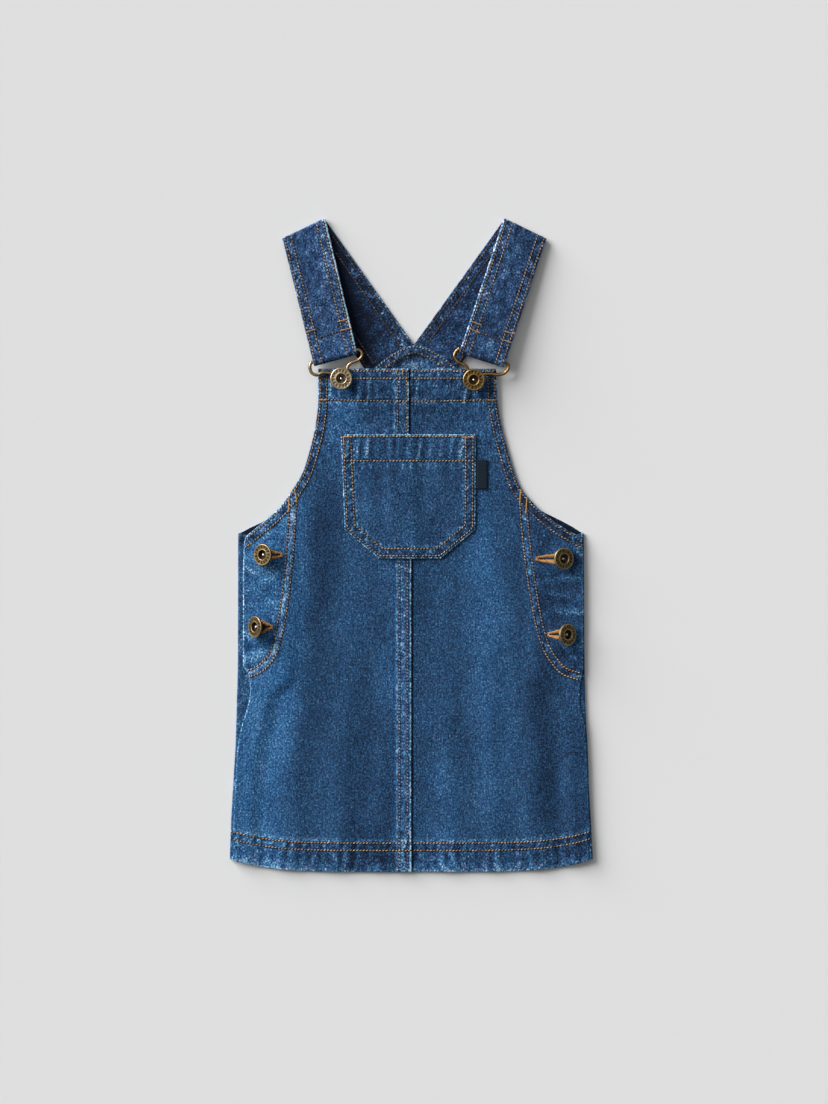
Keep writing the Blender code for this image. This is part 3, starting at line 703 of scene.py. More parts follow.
def back_strips():
    """The back's level rows: its flat middle, the turns round its sides and the stands on top."""
    turn_radius = (STAND_MIDDLE - CLOTH / 2.0) / 2.0
    turn_middle = (STAND_MIDDLE + CLOTH / 2.0) / 2.0
    in_from_fold = turn_radius + CLOTH / 2.0
    level = [places(0.0, FOLD_TOP, 2.3)[:-6], places(FOLD_TOP - 3.4, BACK_TOP, 1.9)[6:], [FOLD_TOP]]
    level += [np.array(HEM_ROWS) + step for step in (-0.9, 0.0, 0.9)]
    level = np.unique(np.concatenate(level))[:, None]
    ends = []
    for inward, column in ((in_from_fold, 1), (-in_from_fold, 2)):
        folded = drawn(SIDE_FOLDS, column, level) + inward
        ends.append(np.where(level <= FOLD_TOP, folded, drawn(BACK_ARMHOLES, column, level)))
    middle = mix(*ends, (places(0.0, 280.0, 2.6) / 280.0)[None, :])
    flat = np.zeros_like(middle)
    strips = [(middle, flat + CLOTH / 2.0, np.stack([flat, flat + 1.0], axis=-1), flat)]
    for side, column in ((-1.0, 1), (1.0, 2)):
        centre = drawn(SIDE_FOLDS, column, level) - side * in_from_fold
        turn = np.linspace(0.0, pi, 9)[None, 1:] + 0.0 * centre
        ways = np.stack([-side * np.sin(turn), np.cos(turn)], axis=-1)
        x = centre + side * turn_radius * np.sin(turn)
        bend = (x, turn_middle - turn_radius * np.cos(turn), ways, 0.0 * turn)
        width = drawn(SIDE_STANDS, column, level) - in_from_fold
        inward = (places(0.0, 30.0, 1.7)[None, 1:] / 30.0) * width
        x = centre - side * inward
        ways = np.stack([0.0 * x, 0.0 * x - 1.0], axis=-1)
        dip = STAND_TOP_SLOPE * inward * ease(*STAND_TOP, level)
        stand = (x, STAND_MIDDLE + mound(x, level, STAND_MOUND), ways, dip)
        if side < 0.0:
            strips = [[part[:, ::-1] for part in strip] for strip in (stand, bend)] + strips
        else:
            strips += [bend, stand]
    x, z, way, dip = (np.concatenate(parts, axis=1) for parts in zip(*strips))
    h = hem_bend(x, level) + arch(x) * ease(ARCH_FROM, BACK_TOP, level) - dip
    return x, h, z, way, level, (x.shape[1] - middle.shape[1]) // 2


def back_armhole(column):
    level = np.linspace(FOLD_TOP, BACK_TOP, 60)
    return np.stack([drawn(BACK_ARMHOLES, column, level), level], axis=1)


def back_outline():
    """Left armhole, arched top and right armhole, as one line over the shoulders' corners."""
    x = np.linspace(*BACK_CORNERS, 60)
    top = np.stack([x, BACK_TOP + arch(x)], axis=1)
    return np.vstack([back_armhole(1), top[1:-1], back_armhole(2)[::-1]])


back_x, back_h, back_z, back_way, back_level, back_sides = back_strips()
back_kept = np.ones((back_x.shape[0] - 1, back_x.shape[1] - 1), bool)
above_stands = back_level[1:, 0] > FOLD_TOP
back_kept[above_stands, :back_sides] = False
back_kept[above_stands, -back_sides:] = False

back_edge = evenly(back_outline(), 2.0)
edge_away, edge_along = from_line(back_edge, back_x, back_h)
hem_away = back_h - hem_height(back_x)
stand_away = np.full_like(back_x, FAR)
steps = np.abs(np.diff(back_x, axis=1))
stand_away[:, :back_sides] = np.cumsum(steps[:, :back_sides], axis=1)
stand_away[:, -back_sides:] = np.cumsum(steps[:, -back_sides:][:, ::-1], axis=1)[:, ::-1]
upper_edge = np.where(back_level > FOLD_TOP - 1e-6, edge_away, FAR)
free_edge = np.minimum.reduce([hem_away, upper_edge, stand_away])
pinch = sum(bell(hem_away - row, 0.8) for row in HEM_ROWS)
pinch = np.minimum(pinch + sum(bell(edge_away - row, 0.8) for row in EDGE_ROWS), 1.0)
hem_pucker = waver(back_x + 0.7 * hem_away, 3.9, 11) * within(2.0, 25.0, 2.0, hem_away)
edge_pucker = waver(edge_along + 0.7 * edge_away, 3.4, 12) * within(1.0, 8.0, 1.0, edge_away)
pucker = hem_pucker + edge_pucker
face_out = CLOTH / 2.0 - turned_edge(free_edge, CLOTH)
outside = np.maximum(face_out - 0.40 * pinch, 0.05)
inside = face_out + 0.12 * pucker
towards = np.stack([back_way[..., 0], 0.0 * back_x, back_way[..., 1]], axis=-1)
back_middle = np.stack([back_x, back_h, back_z], axis=-1)
back_rim = bell(free_edge, 1.1)
arm_shade = ease(255.0, 262.0, back_h) * (1.0 - ease(300.0, 330.0, back_h))
on_stand = stand_away < FAR
neck = ease(366.0, 384.0, back_h)
neck_rub = ease(366.0, 382.0, back_h) * crest(rumple(back_x, back_h, 8.0, 7.0, 14) + 0.45)
stand_rub = on_stand * crest(rumple(back_x, back_h, 3.2, 6.0, 15))
back_denim = denim("denim_back", 0.44, 0.10)
back_piece = cloth_shell(
    "denim_back_panel",
    back_middle + towards * inside[..., None],
    back_middle - towards * outside[..., None],
    back_denim,
    (back_x, back_h),
    back_kept,
    worn=(
        0.5 * back_rim + 0.35 * crest(edge_pucker) + 0.15 * neck_rub,
        (0.9 - 0.35 * on_stand) * back_rim + 0.6 * crest(pucker) + 0.35 * stand_rub,
    ),
    # Darker along the stitched rows: unfaded indigo with painted shade in their grooves
    deep=(0.2 + 1.6 * arm_shade - 0.38 * neck, 0.5 * crest(-pucker) + 0.5 * pinch + 0.18 * on_stand),
    mottled=(
        np.maximum(within(1.0, 9.0, 2.0, edge_away), 0.8 * neck),
        0.2 + 0.3 * within(0.0, 26.0, 3.0, hem_away) + 0.5 * within(0.0, 8.0, 1.5, edge_away),
    ),
    faded=(
        0.25 * ease(360.0, 385.0, back_h),
        0.3 * rumple(back_x, back_h, 40.0, 110.0, 13) + 0.20 * on_stand,
    ),
)
belongs(back_piece, "denim_inside", "back_panel")

# Its own rows lie in grooves on the outside, so that they stay clear of the table
back_ground = ground_of(back_piece)
back_rows = [inset(back_edge, -row)[2:-2] for row in EDGE_ROWS]
hem_x = np.linspace(-138.0, 138.0, 140)
back_rows += [np.stack([hem_x, hem_height(hem_x) + row], axis=1) for row in HEM_ROWS]
back_threads = []
for seed, row in enumerate(back_rows, 21):
    points, facing = laid(row, back_ground, below=True)
    points[:, 2] = np.maximum(points[:, 2], OUTSIDE_ROWS_ABOVE)
    back_threads += topstitch(points, facing, seed, 0.38, 0.12, OUTSIDE_THREAD, OUTSIDE_LIFT)
thread_piece("thread_back", back_threads)


# ---------------------------------------------------------------------------------------------
# The curved facing inside the back's top: a narrow band of the same denim, lying over the ends of
# the straps and sewn down with two rows.

FACING_CLOTH = 1.0
FACING_WIDTH = 7.0
FACING_SET_BACK = 0.4
FACING_ENDS = (-44.5, 50.5)
FACING_ROW_ENDS = (-43.5, 49.5)
FACING_RAMPS = ((-43.0, -37.0), (37.5, 43.5))
FACING_LOW = 1.95
FACING_HIGH = 4.35

# distance from the back's edge, shade and share of gold stitches
FACING_ROWS = ((1.5, 0.44, 0.06), (6.0, 0.22, 0.26))


def facing_line(depth):
    """A line on the back's arch, a distance in from its edge."""
    x = np.linspace(*FACING_ENDS, 96)
    slope = arch(x + 0.5) - arch(x - 0.5)
    length = np.hypot(slope, 1.0)
    return np.stack([x + slope / length * depth, BACK_TOP + arch(x) - depth / length], axis=1)


depth = FACING_SET_BACK + places(0.0, FACING_WIDTH - FACING_SET_BACK, 0.8, (0.0, 0.2, 0.5, 0.9))
x, h = np.moveaxis(np.stack([facing_line(one) for one in depth[::-1]]), 2, 0)
depth = depth[::-1, None]
climb = ease(*FACING_RAMPS[0], x) * (1.0 - ease(*FACING_RAMPS[1], x))
z = mix(FACING_LOW, FACING_HIGH, climb)
edge = np.minimum.reduce(np.broadcast_arrays(
    depth - FACING_SET_BACK, FACING_WIDTH - depth, x - x[:, :1], x[:, -1:] - x
))
half = FACING_CLOTH / 2.0 - turned_edge(edge, FACING_CLOTH)
pinch = sum(bell(depth - row, 0.8) for row, _, _ in FACING_ROWS)
pucker = waver(x + depth, 3.6, 21)
facing_piece = cloth_shell(
    "denim_neck_facing",
    np.stack([x, h, z + half - 0.15 * pinch + 0.1 * pucker * (edge > 0.6)], axis=-1),
    np.stack([x, h, z - half], axis=-1),
    back_denim,
    (x, h),
    worn=0.8 * bell(edge, 0.8) + 0.4 * crest(pucker),
    # Darker along the stitched rows: unfaded indigo with painted shade in their grooves
    deep=0.40 + 0.25 * pinch - 0.3 * pucker,
    mottled=0.8,
    faded=0.0,
)
belongs(facing_piece, "denim_inside", "back_neck_facing")
facing_ground = ground_of(facing_piece)
facing_threads = []
for seed, (row, tone, gold) in enumerate(FACING_ROWS, 31):
    line = facing_line(row)
    line = line[(line[:, 0] > FACING_ROW_ENDS[0]) & (line[:, 0] < FACING_ROW_ENDS[1])]
    facing_threads += topstitch(*laid(line, facing_ground), seed, tone, gold, OUTSIDE_THREAD)
thread_piece("thread_neck_facing", facing_threads)


# ---------------------------------------------------------------------------------------------
# The two fronts, bib and skirt in one piece each: denim twill, lapped and twice sewn down the
# centre, hemmed at the bottom and turned in along armholes and bib. A J-shaped double row holds
# the facing of each side opening, which buttons over the stand on the back.

FRONT_LIFT = 1.5
SIDE_LIFT = 3.65
BIB_LIFT = 5.2
BIB_CORNER_LIFT = 3.3
BIB_RAMPS = ((-49.0, -40.0), (41.0, 48.0))
BIB_SLOPE = (345.0, 376.0)
BIB_STITCHED = (330.0, 350.0)
SIDE_RAMP = 14.0
SIDE_CLEAR = 4.0
SIDE_FADE = (262.0, 290.0)
FRONT_MOUND = 2.5
FRONT_TOP = 392.0
BIB_ROWS = (2.0, 7.6)
BIB_HEM = 23.9
BIB_HEM_SAG = 1.4
LAP_WIDTH = 11.0
LAP_RAMP = 3.0
LAP_LIFT = 1.45
J_ROW_GAP = 5.3
J_GOLD_BELOW = 176.0
UNDER_POCKET = (248.0, 337.0)
ROW_DENT = 0.75

# a buttonhole: half length and half height of its round end, half height of its slit, and how far
# from its middle its outline may reach
HOLE_ROUND = (5.4, 3.4)
HOLE_SLIT = 0.8
HOLE_ROOM = (16.0, 9.0)

# each of the lap's two rows: distance in from its fold on the skirt, and on the bib
LAP_ROWS = ((9.2, 8.6), (3.0, 1.6))

# where the rows across a front start at the hem's side, the bib's corner and the bib's hem, and
# how far past the seam's line they end
ROW_REACH = {"left": (-139.5, -71.0, -71.0, -0.4), "right": (139.5, 64.5, 65.0, 1.2)}

# the lattice's columns: how far in from the outer edge, and how far to the right of the seam's line
EDGE_COLUMNS = (0.0, 0.2, 0.5, 0.95, 1.6, 2.4, 3.4, 4.6, 5.9, 7.2, 8.5)
SEAM_COLUMNS = {
    "left": (
        -17.0, -15.8, -14.8, -13.9, -13.0, -12.1, -11.2, -10.4, -9.6, -8.8, -8.0, -7.1,
        -6.2, -5.4, -4.6, -3.8, -3.0, -2.3, -1.6, -1.0, -0.6, -0.25, 0.0,
    ),
    "right": (
        17.0, 15.0, 13.0, 11.0, 9.0, 7.4, 6.0, 4.8, 3.7, 2.7, 1.8, 1.0, 0.3,
        -0.5, -1.5, -3.0, -5.0, -6.6, -7.4, -7.8, -8.0,
    ),
}

# height, left edge, right edge: the outer edges of the two fronts
FRONT_EDGES = (
    (0.0, -140.3, 140.3),
    (75.5, -136.6, 137.2),
    (95.0, -135.5, 136.3),
    (113.5, -132.0, 135.0),
    (129.0, -127.5, 131.5),
    (140.0, -125.5, 131.0),
    (153.5, -126.5, 133.0),
    (161.0, -131.0, 134.0),
    (227.5, -131.0, 134.0),
    (258.5, -130.0, 133.0),
    (267.5, -121.5, 119.5),
    (273.5, -114.0, 110.5),
    (287.0, -100.0, 95.5),
    (300.5, -91.0, 84.5),
    (310.5, -85.0, 80.5),
    (325.5, -80.0, 76.0),
    (349.0, -74.5, 70.0),
    (368.5, -72.5, 67.0),
    (FRONT_TOP, -72.5, 66.0),
)

# x at the hem, x at its top, height of its top, rise, half width: soft ridges down the skirt
SKIRT_RIDGES = (
    (-96.0, -84.0, 205.0, 1.3, 17.0),
    (-57.0, -46.0, 225.0, 1.0, 15.0),
    (-24.0, -20.0, 190.0, 0.8, 12.0),
    (31.0, 24.0, 215.0, 1.1, 15.0),
    (66.0, 58.0, 230.0, 0.9, 14.0),
    (101.0, 88.0, 195.0, 1.4, 17.0),
)

# x at the hem, x high up, half width, strength at the hem and high up: the long soft light and
# dark streaks on the skirt, partly from washing and partly painted light, brighter down the left
# side and darker down the right
STREAK_HEIGHT = 230.0
STREAK_FADE = (262.0, 330.0)
STREAKS = (
    (-124.0, -113.0, 26.0, 1.20, 1.05),
    (-100.0, -90.0, 9.0, -0.45, 0.70),
    (-90.0, -69.0, 14.0, 0.30, -1.00),
    (-70.0, -58.0, 14.0, 0.20, 0.05),
    (-26.0, -44.0, 18.0, -0.70, 0.05),
    (-7.0, -8.0, 9.0, 0.70, 0.70),
    (34.0, 8.0, 17.0, 0.40, -0.15),
    (72.0, 57.0, 15.0, 0.30, 0.75),
    (106.0, 106.0, 30.0, -0.42, -0.62),
    (131.0, 131.0, 8.0, -0.55, 0.10),
)

# x, half width, strength: the bib is paler all over, and more so at its two sides
BIB_FADE = (300.0, 350.0)
BIB_PALE = 0.28
BIB_STREAKS = ((-62.0, 18.0, 0.55), (48.0, 12.0, 0.35))

# x and height of both ends, half width, strength: creases that the fastened sides have worn in
CREASES = {
    "left": (
        (-128.9, 236.7, -119.5, 231.3, 1.7, 0.8),
        (-127.3, 218.8, -120.6, 222.2, 1.4, 0.7),
        (-127.3, 207.1, -102.4, 210.2, 1.3, 0.5),
        (-108.6, 199.5, -105.0, 192.0, 1.3, 0.9),
        (-129.7, 186.8, -125.3, 180.6, 2.2, 0.9),
        (-128.6, 166.0, -116.4, 170.6, 3.6, 0.8),
        (-101.6, 269.5, -102.6, 254.5, 1.3, 0.7),
        (-117.4, 257.0, -110.7, 262.4, 1.5, 0.8),
        (-116.0, 227.0, -105.0, 232.4, 2.8, 0.5),
        (-112.0, 277.0, -104.0, 270.0, 1.4, 0.6),
    ),
    "right": (
        (98.9, 236.5, 106.4, 227.0, 1.6, 0.8),
        (116.6, 228.6, 134.0, 228.2, 2.2, 0.8),
        (107.2, 217.6, 121.0, 213.8, 1.5, 0.5),
        (115.0, 202.8, 134.0, 202.2, 2.6, 1.0),
        (118.0, 177.4, 127.4, 165.4, 2.0, 0.8),
        (127.6, 251.6, 134.0, 245.4, 2.2, 0.9),
        (124.8, 180.4, 134.0, 172.4, 1.8, 0.7),
        (110.0, 163.8, 123.4, 158.9, 1.6, 0.6),
        (103.0, 262.0, 108.4, 256.0, 1.4, 0.5),
    ),
}

# x and height where the two armhole rows end at the side's corner
ROW_CORNERS = {
    "left": ((-130.2, 256.8), (-130.6, 252.6)),
    "right": ((133.0, 256.9), (132.6, 252.6)),
}

# x and height of the J-shaped inner rows, from the armhole down and out to the side edge
J_SEAMS = {
    "left": (
        (-94.5, 290.0),
        (-95.6, 272.6),
        (-98.3, 237.5),
        (-102.7, 201.6),
        (-108.6, 175.1),
        (-115.6, 163.8),
        (-123.2, 158.4),
        (-129.0, 157.0),
    ),
    "right": (
        (89.8, 290.0),
        (91.2, 269.5),
        (95.1, 235.2),
        (101.2, 198.1),
        (106.7, 178.2),
        (112.5, 167.4),
        (120.5, 158.6),
        (131.8, 155.0),
    ),
}

# both ends of each dense bar of stitches
FRONT_BARS = {
    "left": (
        ((-95.2, 291.5), (-95.6, 280.5)),
        ((-90.9, 297.8), (-89.0, 288.0)),
        ((-72.0, 367.6), (-66.5, 367.6)),
        ((-12.0, 391.2), (-11.3, 388.0)),
        ((-6.9, 391.2), (-6.4, 387.6)),
    ),
    "right": (
        ((85.3, 297.8), (84.6, 287.0)),
        ((90.1, 291.5), (89.4, 279.6)),
        ((66.0, 367.6), (60.0, 367.6)),
    ),
}


def seam_x(level):
    """The folded edge of the centre seam, a little off the middle at the bib."""
    return mix(0.0, -2.0, ease(243.0, 341.0, level))


def lap_row(row, h):
    """How far in from the lap's fold one of its rows runs."""
    return mix(*LAP_ROWS[row], ease(*BIB_STITCHED, h))


def bib_hem(x):
    """How far below the bib's top its hem is sewn, a little more at the middle."""
    return BIB_HEM + BIB_HEM_SAG * np.cos(pi * x / 140.0)


def side_share(x, level):
    """1 where the front lies on the stand, down to 0 further in."""
    fold = np.where(x < 0.0, -drawn(SIDE_FOLDS, 1, level), drawn(SIDE_FOLDS, 2, level))
    widest = (
        np.maximum(drawn(SIDE_STANDS, column, level), drawn(SIDE_STANDS, column, level + SIDE_RAMP))
        for column in (1, 2)
    )
    past = fold - np.abs(x) - np.where(x < 0.0, *widest) - SIDE_CLEAR
    return (1.0 - ease(0.0, SIDE_RAMP, past)) * (1.0 - ease(*SIDE_FADE, level))


def ridge_rise(x, level):
    rise = np.zeros(np.shape(x))
    for hem_x, top_x, top, height, half_width in SKIRT_RIDGES:
        away = np.abs(x - mix(hem_x, top_x, level / top))
        swell = height * np.cos(pi * np.minimum(away / (2.0 * half_width), 0.5)) ** 2
        rise += swell * (1.0 - ease(top / 3.0, top, level))
    return rise


def under_front(x, level):
    """Height of the front layer's underside over everything that lies below it."""
    inner = ease(*BIB_RAMPS[0], x) * (1.0 - ease(*BIB_RAMPS[1], x))
    bib = ease(*BIB_SLOPE, level) * (mix(BIB_CORNER_LIFT, BIB_LIFT, inner) - FRONT_LIFT)
    side = (SIDE_LIFT - FRONT_LIFT) * side_share(x, level)
    return FRONT_LIFT + bib + side + mound(x, level, FRONT_MOUND) + ridge_rise(x, level)


def lap_rise(x, level, spread=0.0, ramp=LAP_RAMP):
    """The left front climbs over the right front's edge; spread clears what lies on it."""
    from_edge = seam_x(level) - x
    up = 1.0 - ease(LAP_WIDTH + spread, LAP_WIDTH + ramp + spread, from_edge)
    down = ease(-spread - ramp, -spread, from_edge) if spread else 1.0
    return LAP_LIFT * up * down


def streaks(x, h):
    """The light and dark of the washed skirt and bib, with painted light down the left and painted shade
    down the right, between about -1 and 1.
    """
    up = h / STREAK_HEIGHT
    total = np.zeros(np.shape(x))
    for hem_x, high_x, half_width, low, high in STREAKS:
        total += mix(low, high, np.clip(up, 0.0, 1.0)) * bell(x - mix(hem_x, high_x, up), half_width)
    total *= 1.0 - ease(*STREAK_FADE, h)
    sides = sum(strength * bell(x - middle, wide) for middle, wide, strength in BIB_STREAKS)
    total += ease(*BIB_FADE, h) * (BIB_PALE + sides)
    return total + 0.30 * rumple(x, h, 26.0, 70.0, 41) + 0.18 * rumple(x, h, 11.0, 24.0, 42)


def front_outline(column):
    """Armhole and side of a front, from the hem to the bib's top corner."""
    level = np.concatenate([np.linspace(0.0, 255.0, 50), np.linspace(258.0, FRONT_TOP, 60)])
    return np.stack([drawn(FRONT_EDGES, column, level), level], axis=1)


def patchy(along, pitch, seed, share=0.5):
    """1 along the most rubbed parts of an edge, less by up to twice a share in between."""
    return 1.0 - share + share * waver(along, pitch, seed)


def curve_piece(before, start, end, after, count):
    """Points of a smooth curve from start towards end, led by the knots on both sides."""
    t = np.linspace(0.0, 1.0, count, endpoint=False)[:, None]
    bend = (2.0 * before - 5.0 * start + 4.0 * end - after) * t**2
    swing = (3.0 * start - before - 3.0 * end + after) * t**3
    return 0.5 * (2.0 * start + (end - before) * t + bend + swing)


def j_lines(side):
    """The inner J-shaped row of a side opening, and the outer one beside it."""
    knots = np.array(J_SEAMS[side])
    knots = np.vstack([2.0 * knots[0] - knots[1], knots, 2.0 * knots[-1] - knots[-2]])
    curve = [curve_piece(*four, 24) for four in zip(knots, knots[1:], knots[2:], knots[3:])]
    line = evenly(np.vstack([*curve, knots[-2:-1]]), 3.0)
    return line, inset(line, J_ROW_GAP if side == "left" else -J_ROW_GAP)


def buttonhole(x, height, lean, end_x):
    """The closed outline of a hole: round at the button's shank and narrow towards the middle."""
    foot = shank_foot(x, lean)
    away = 1.0 if end_x > foot else -1.0
    round_end = np.linspace(pi / 2.0, 3.0 * pi / 2.0, 13)
    slit_end = np.linspace(-pi / 2.0, pi / 2.0, 7)
    long, tall = HOLE_ROUND
    shank = np.stack([foot + away * long * np.cos(round_end), height + tall * np.sin(round_end)], axis=1)
    slit_x = end_x + away * HOLE_SLIT * (np.cos(slit_end) - 1.0)
    slit = np.stack([slit_x, height + HOLE_SLIT * np.sin(slit_end)], axis=1)
    return np.vstack([shank, slit, shank[:1]])


def inside_of(closed, x, h):
    """True where a point lies inside a closed outline."""
    inside = np.zeros(np.shape(x), bool)
    for (ax, ah), (bx, bh) in zip(closed, closed[1:]):
        if ah != bh:
            inside ^= ((ah > h) != (bh > h)) & (x < ax + (h - ah) * (bx - ax) / (bh - ah))
    return inside


def snap(closed, x, h, kept):
    """Moves the points round a cut-out onto its closed outline."""
    touched = np.zeros(x.shape, int)
    for dr, dc in ((0, 0), (0, 1), (1, 0), (1, 1)):
        touched[dr:x.shape[0] - 1 + dr, dc:x.shape[1] - 1 + dc] += kept
    centre = closed[:-1].mean(axis=0)
    room = (np.abs(x - centre[0]) < HOLE_ROOM[0]) & (np.abs(h - centre[1]) < HOLE_ROOM[1])
    rim = room & (touched > 0) & (touched < 4)
    rim[[0, -1]] = False
    rim[:, [0, -1]] = False
    _, along = from_line(closed, x[rim], h[rim])
    x[rim], h[rim] = at_places(along, lengths(closed), closed).T


def front(side, column, out):
    """One front: its lattice, its relief and its wear."""
    left = side == "left"
    level = places(0.0, FRONT_TOP, 1.3)[:, None]
    outer = drawn(FRONT_EDGES, column, level) - out * np.array(EDGE_COLUMNS)
    inner = seam_x(level) + np.array(SEAM_COLUMNS[side])
    middle = mix(outer[:, -1:], inner[:, :1], np.linspace(0.0, 1.0, 84)[None, 1:-1])
    x = np.concatenate([outer, middle, inner], axis=1)
    if not left:
        x = x[:, ::-1]
    level = level + 0.0 * x
    h = hem_bend(x, level)
    kept = np.ones((x.shape[0] - 1, x.shape[1] - 1), bool)
    hole_away = np.full(x.shape, FAR)
    for name, *hole in SIDE_BUTTONS:
        if side in name:
            closed = buttonhole(*hole)
            middle_x, middle_h = ((one[:-1, :-1] + one[1:, 1:]) / 2.0 for one in (x, h))
            kept &= ~inside_of(closed, middle_x, middle_h)
            snap(closed, x, h, kept)
            hole_away = np.minimum(hole_away, from_line(closed, x, h)[0])
    away, along = from_line(evenly(front_outline(column), 2.5), x, h)
    hem_away = h - hem_height(x)
    top_away = FRONT_TOP - h
    past_seam = x - seam_x(level)
    rim = np.minimum.reduce([away, hem_away, top_away, hole_away])
    fold = np.where(past_seam < 0.0, -past_seam, FAR) if left else np.full(x.shape, FAR)
    (j_away, j_along), (j_outer_away, _) = (from_line(line, x, h) for line in j_lines(side))
    armhole = ease(252.0, 262.0, h)
    on_lap = 1.0 - ease(LAP_WIDTH - 0.5, LAP_WIDTH + 2.0, fold)

    rows = [hem_away - row for row in HEM_ROWS]
    rows += [np.abs(away - row) + 99.0 * (armhole < 0.5) for row in EDGE_ROWS]
    rows += [top_away - row for row in (*BIB_ROWS, bib_hem(x))]
    rows += [j_away, j_outer_away]
    if left:
        rows += [fold - lap_row(row, h) for row in range(len(LAP_ROWS))]
    pinch = sum(bell(row, ROW_DENT) for row in rows)

    hem_band = within(-2.0, HEM_ROWS[1] + 1.0, 0.8, hem_away)
    arm_band = within(-2.0, EDGE_ROWS[1] + 0.9, 0.7, away) * armhole
    bib_band = within(-2.0, BIB_HEM + 1.2, 0.8, top_away)
    j_band = (1.0 - ease(J_ROW_GAP + 0.4, J_ROW_GAP + 1.6, j_away + j_outer_away)) * (h < 292.0)
    side_zone = (1.0 - ease(-1.0, 2.0, j_away - j_outer_away)) * ease(150.0, 158.0, h)
    side_zone = side_zone * (1.0 - ease(286.0, 300.0, h))

    hem_pucker = waver(x + 0.12 * hem_away * np.sign(x + 0.01), 4.3, 51 + column)
    hem_pucker = hem_pucker * within(0.5, HEM_ROWS[1] + 2.5, 2.2, hem_away)
    roping = waver(x - 0.3 * (hem_away - 19.5), 2.6, 53 + column) * within(17.0, 22.2, 0.6, hem_away)
    arm_pucker = waver(along + 0.8 * away, 2.5, 55 + column) * within(1.2, 8.0, 1.0, away) * armhole
    bib_pucker = waver(x + 0.15 * top_away, 3.8, 57) * within(1.5, BIB_HEM + 3.0, 2.2, top_away)
    j_pucker = waver(j_along + 0.6 * j_away, 2.6, 59 + column) * j_band
    lap_pucker = waver(h - 0.4 * fold, 3.0, 61) * on_lap * (fold > 0.5)
    lump = rumple(x + 0.5 * h, h, 15.0, 5.0, 63) * side_zone
    swell = rumple(x, h, 34.0, 60.0, 65) * (1.0 - side_zone)
    bars = waver(x, 5.2, 75 + column) * within(0.0, HEM_ROWS[0], 1.0, hem_away)
    bars = bars * np.exp(-crest(HEM_ROWS[0] - hem_away) / 6.0)
    crease = np.zeros(x.shape)
    shade = np.zeros(x.shape)
    for start_x, start_h, end_x, end_h, wide, strength in CREASES[side]:
        line = ((start_x, start_h), (end_x, end_h))
        crease = np.maximum(crease, strength * bell(from_line(line, x, h)[0], wide))
        below = from_line(line, x, h + 2.2 * wide)[0]
        shade = np.maximum(shade, strength * bell(below, 1.5 * wide))
    crease = crease * (0.75 + 0.45 * rumple(x, h, 2.6, 2.2, 64))

    relief = (
        0.38 * hem_band
        + 0.34 * arm_band
        + 0.24 * bib_band
        + 0.22 * j_band
        - 0.24 * np.minimum(pinch, 1.3)
        + 0.26 * hem_pucker
        + 0.16 * roping
        + 0.16 * arm_pucker
        + 0.12 * bib_pucker
        + 0.12 * j_pucker
        + 0.10 * lap_pucker
        + 0.24 * lump
        + 0.30 * crease
        - 0.16 * shade
        + 0.22 * swell
    )
    relief = relief * mix(0.35, 1.0, ease(0.0, 2.5, np.minimum(rim, fold)))
    low = under_front(x, level)
    if left:
        low = low + lap_rise(x, level)
    else:
        relief = relief * ease(-2.0, 0.5, past_seam)
    roll = turned_edge(np.minimum(rim, fold), CLOTH)

    # Each wave of the cloth, how much its crests are rubbed and how dark its troughs stay
    waves = (
        (hem_pucker, 0.5, 0.7),
        (roping, 1.1, 0.9),
        (arm_pucker, 0.7, 0.5),
        (bars, 0.8, 0.5),
        (j_pucker, 0.7, 0.0),
        (lap_pucker, 1.0, 0.0),
    )
    rubbed = 1.9 * crest(bib_pucker) ** 2 + sum(high * crest(wave) for wave, high, _ in waves)
    trough = 0.7 * crest(-bib_pucker) + sum(dark * crest(-wave) for wave, _, dark in waves)
    low_edge = bell(away, 0.75) * (1.0 - ease(296.0, 320.0, h))
    low_edge = low_edge * mix(0.45 * ease(30.0, 110.0, h), 1.0, ease(150.0, 160.0, h))
    worn = (
        0.55 * bell(rim, 0.8) * patchy(along, 2.1, 66, 0.35)
        + 0.50 * low_edge
        + 0.95 * bell(top_away - 0.75, 0.55) * patchy(x, 1.9, 70, 0.4)
        + 0.45 * bell(hem_away - 0.9, 1.3) * patchy(x, 2.4, 62, 0.3)
        + 0.60 * crease
        + 0.55 * rubbed
        + 0.75 * bell(hem_away - HEM_ROWS[1] - 1.8, 1.6) * patchy(x, 2.3, 67)
        + 0.65 * bell(top_away - BIB_HEM - 2.6, 1.8) * patchy(x, 2.6, 68)
        + 0.14 * crest(lump)
    )
    # Darker along the stitched rows, as unfaded indigo with painted shade in their grooves, and in a
    # painted shadow band just below each crease
    deep = 0.45 * np.minimum(pinch, 1.2) + 0.45 * trough + 0.30 * crest(-lump)
    deep = deep + 0.35 * shade - 0.35 * (1.0 - ease(2.0, 10.0, hem_away))
    deep = deep + 0.25 * np.maximum.reduce([0.5 * hem_band, arm_band, 0.5 * bib_band])
    if left:
        step = bell(fold - LAP_WIDTH + 0.1, 0.6) * patchy(h, 1.7, 69)
        worn = worn + 0.8 * bell(fold - 0.6, 0.55) + 0.55 * step
        # Painted shade on the slope where the lap climbs over the right front's edge
        deep = deep - 0.35 * j_band + 0.50 * within(11.8, 14.4, 0.8, fold)
    else:
        worn = worn + 0.40 * bell(past_seam - 2.7, 0.7) * patchy(h, 2.3, 69, 0.45)
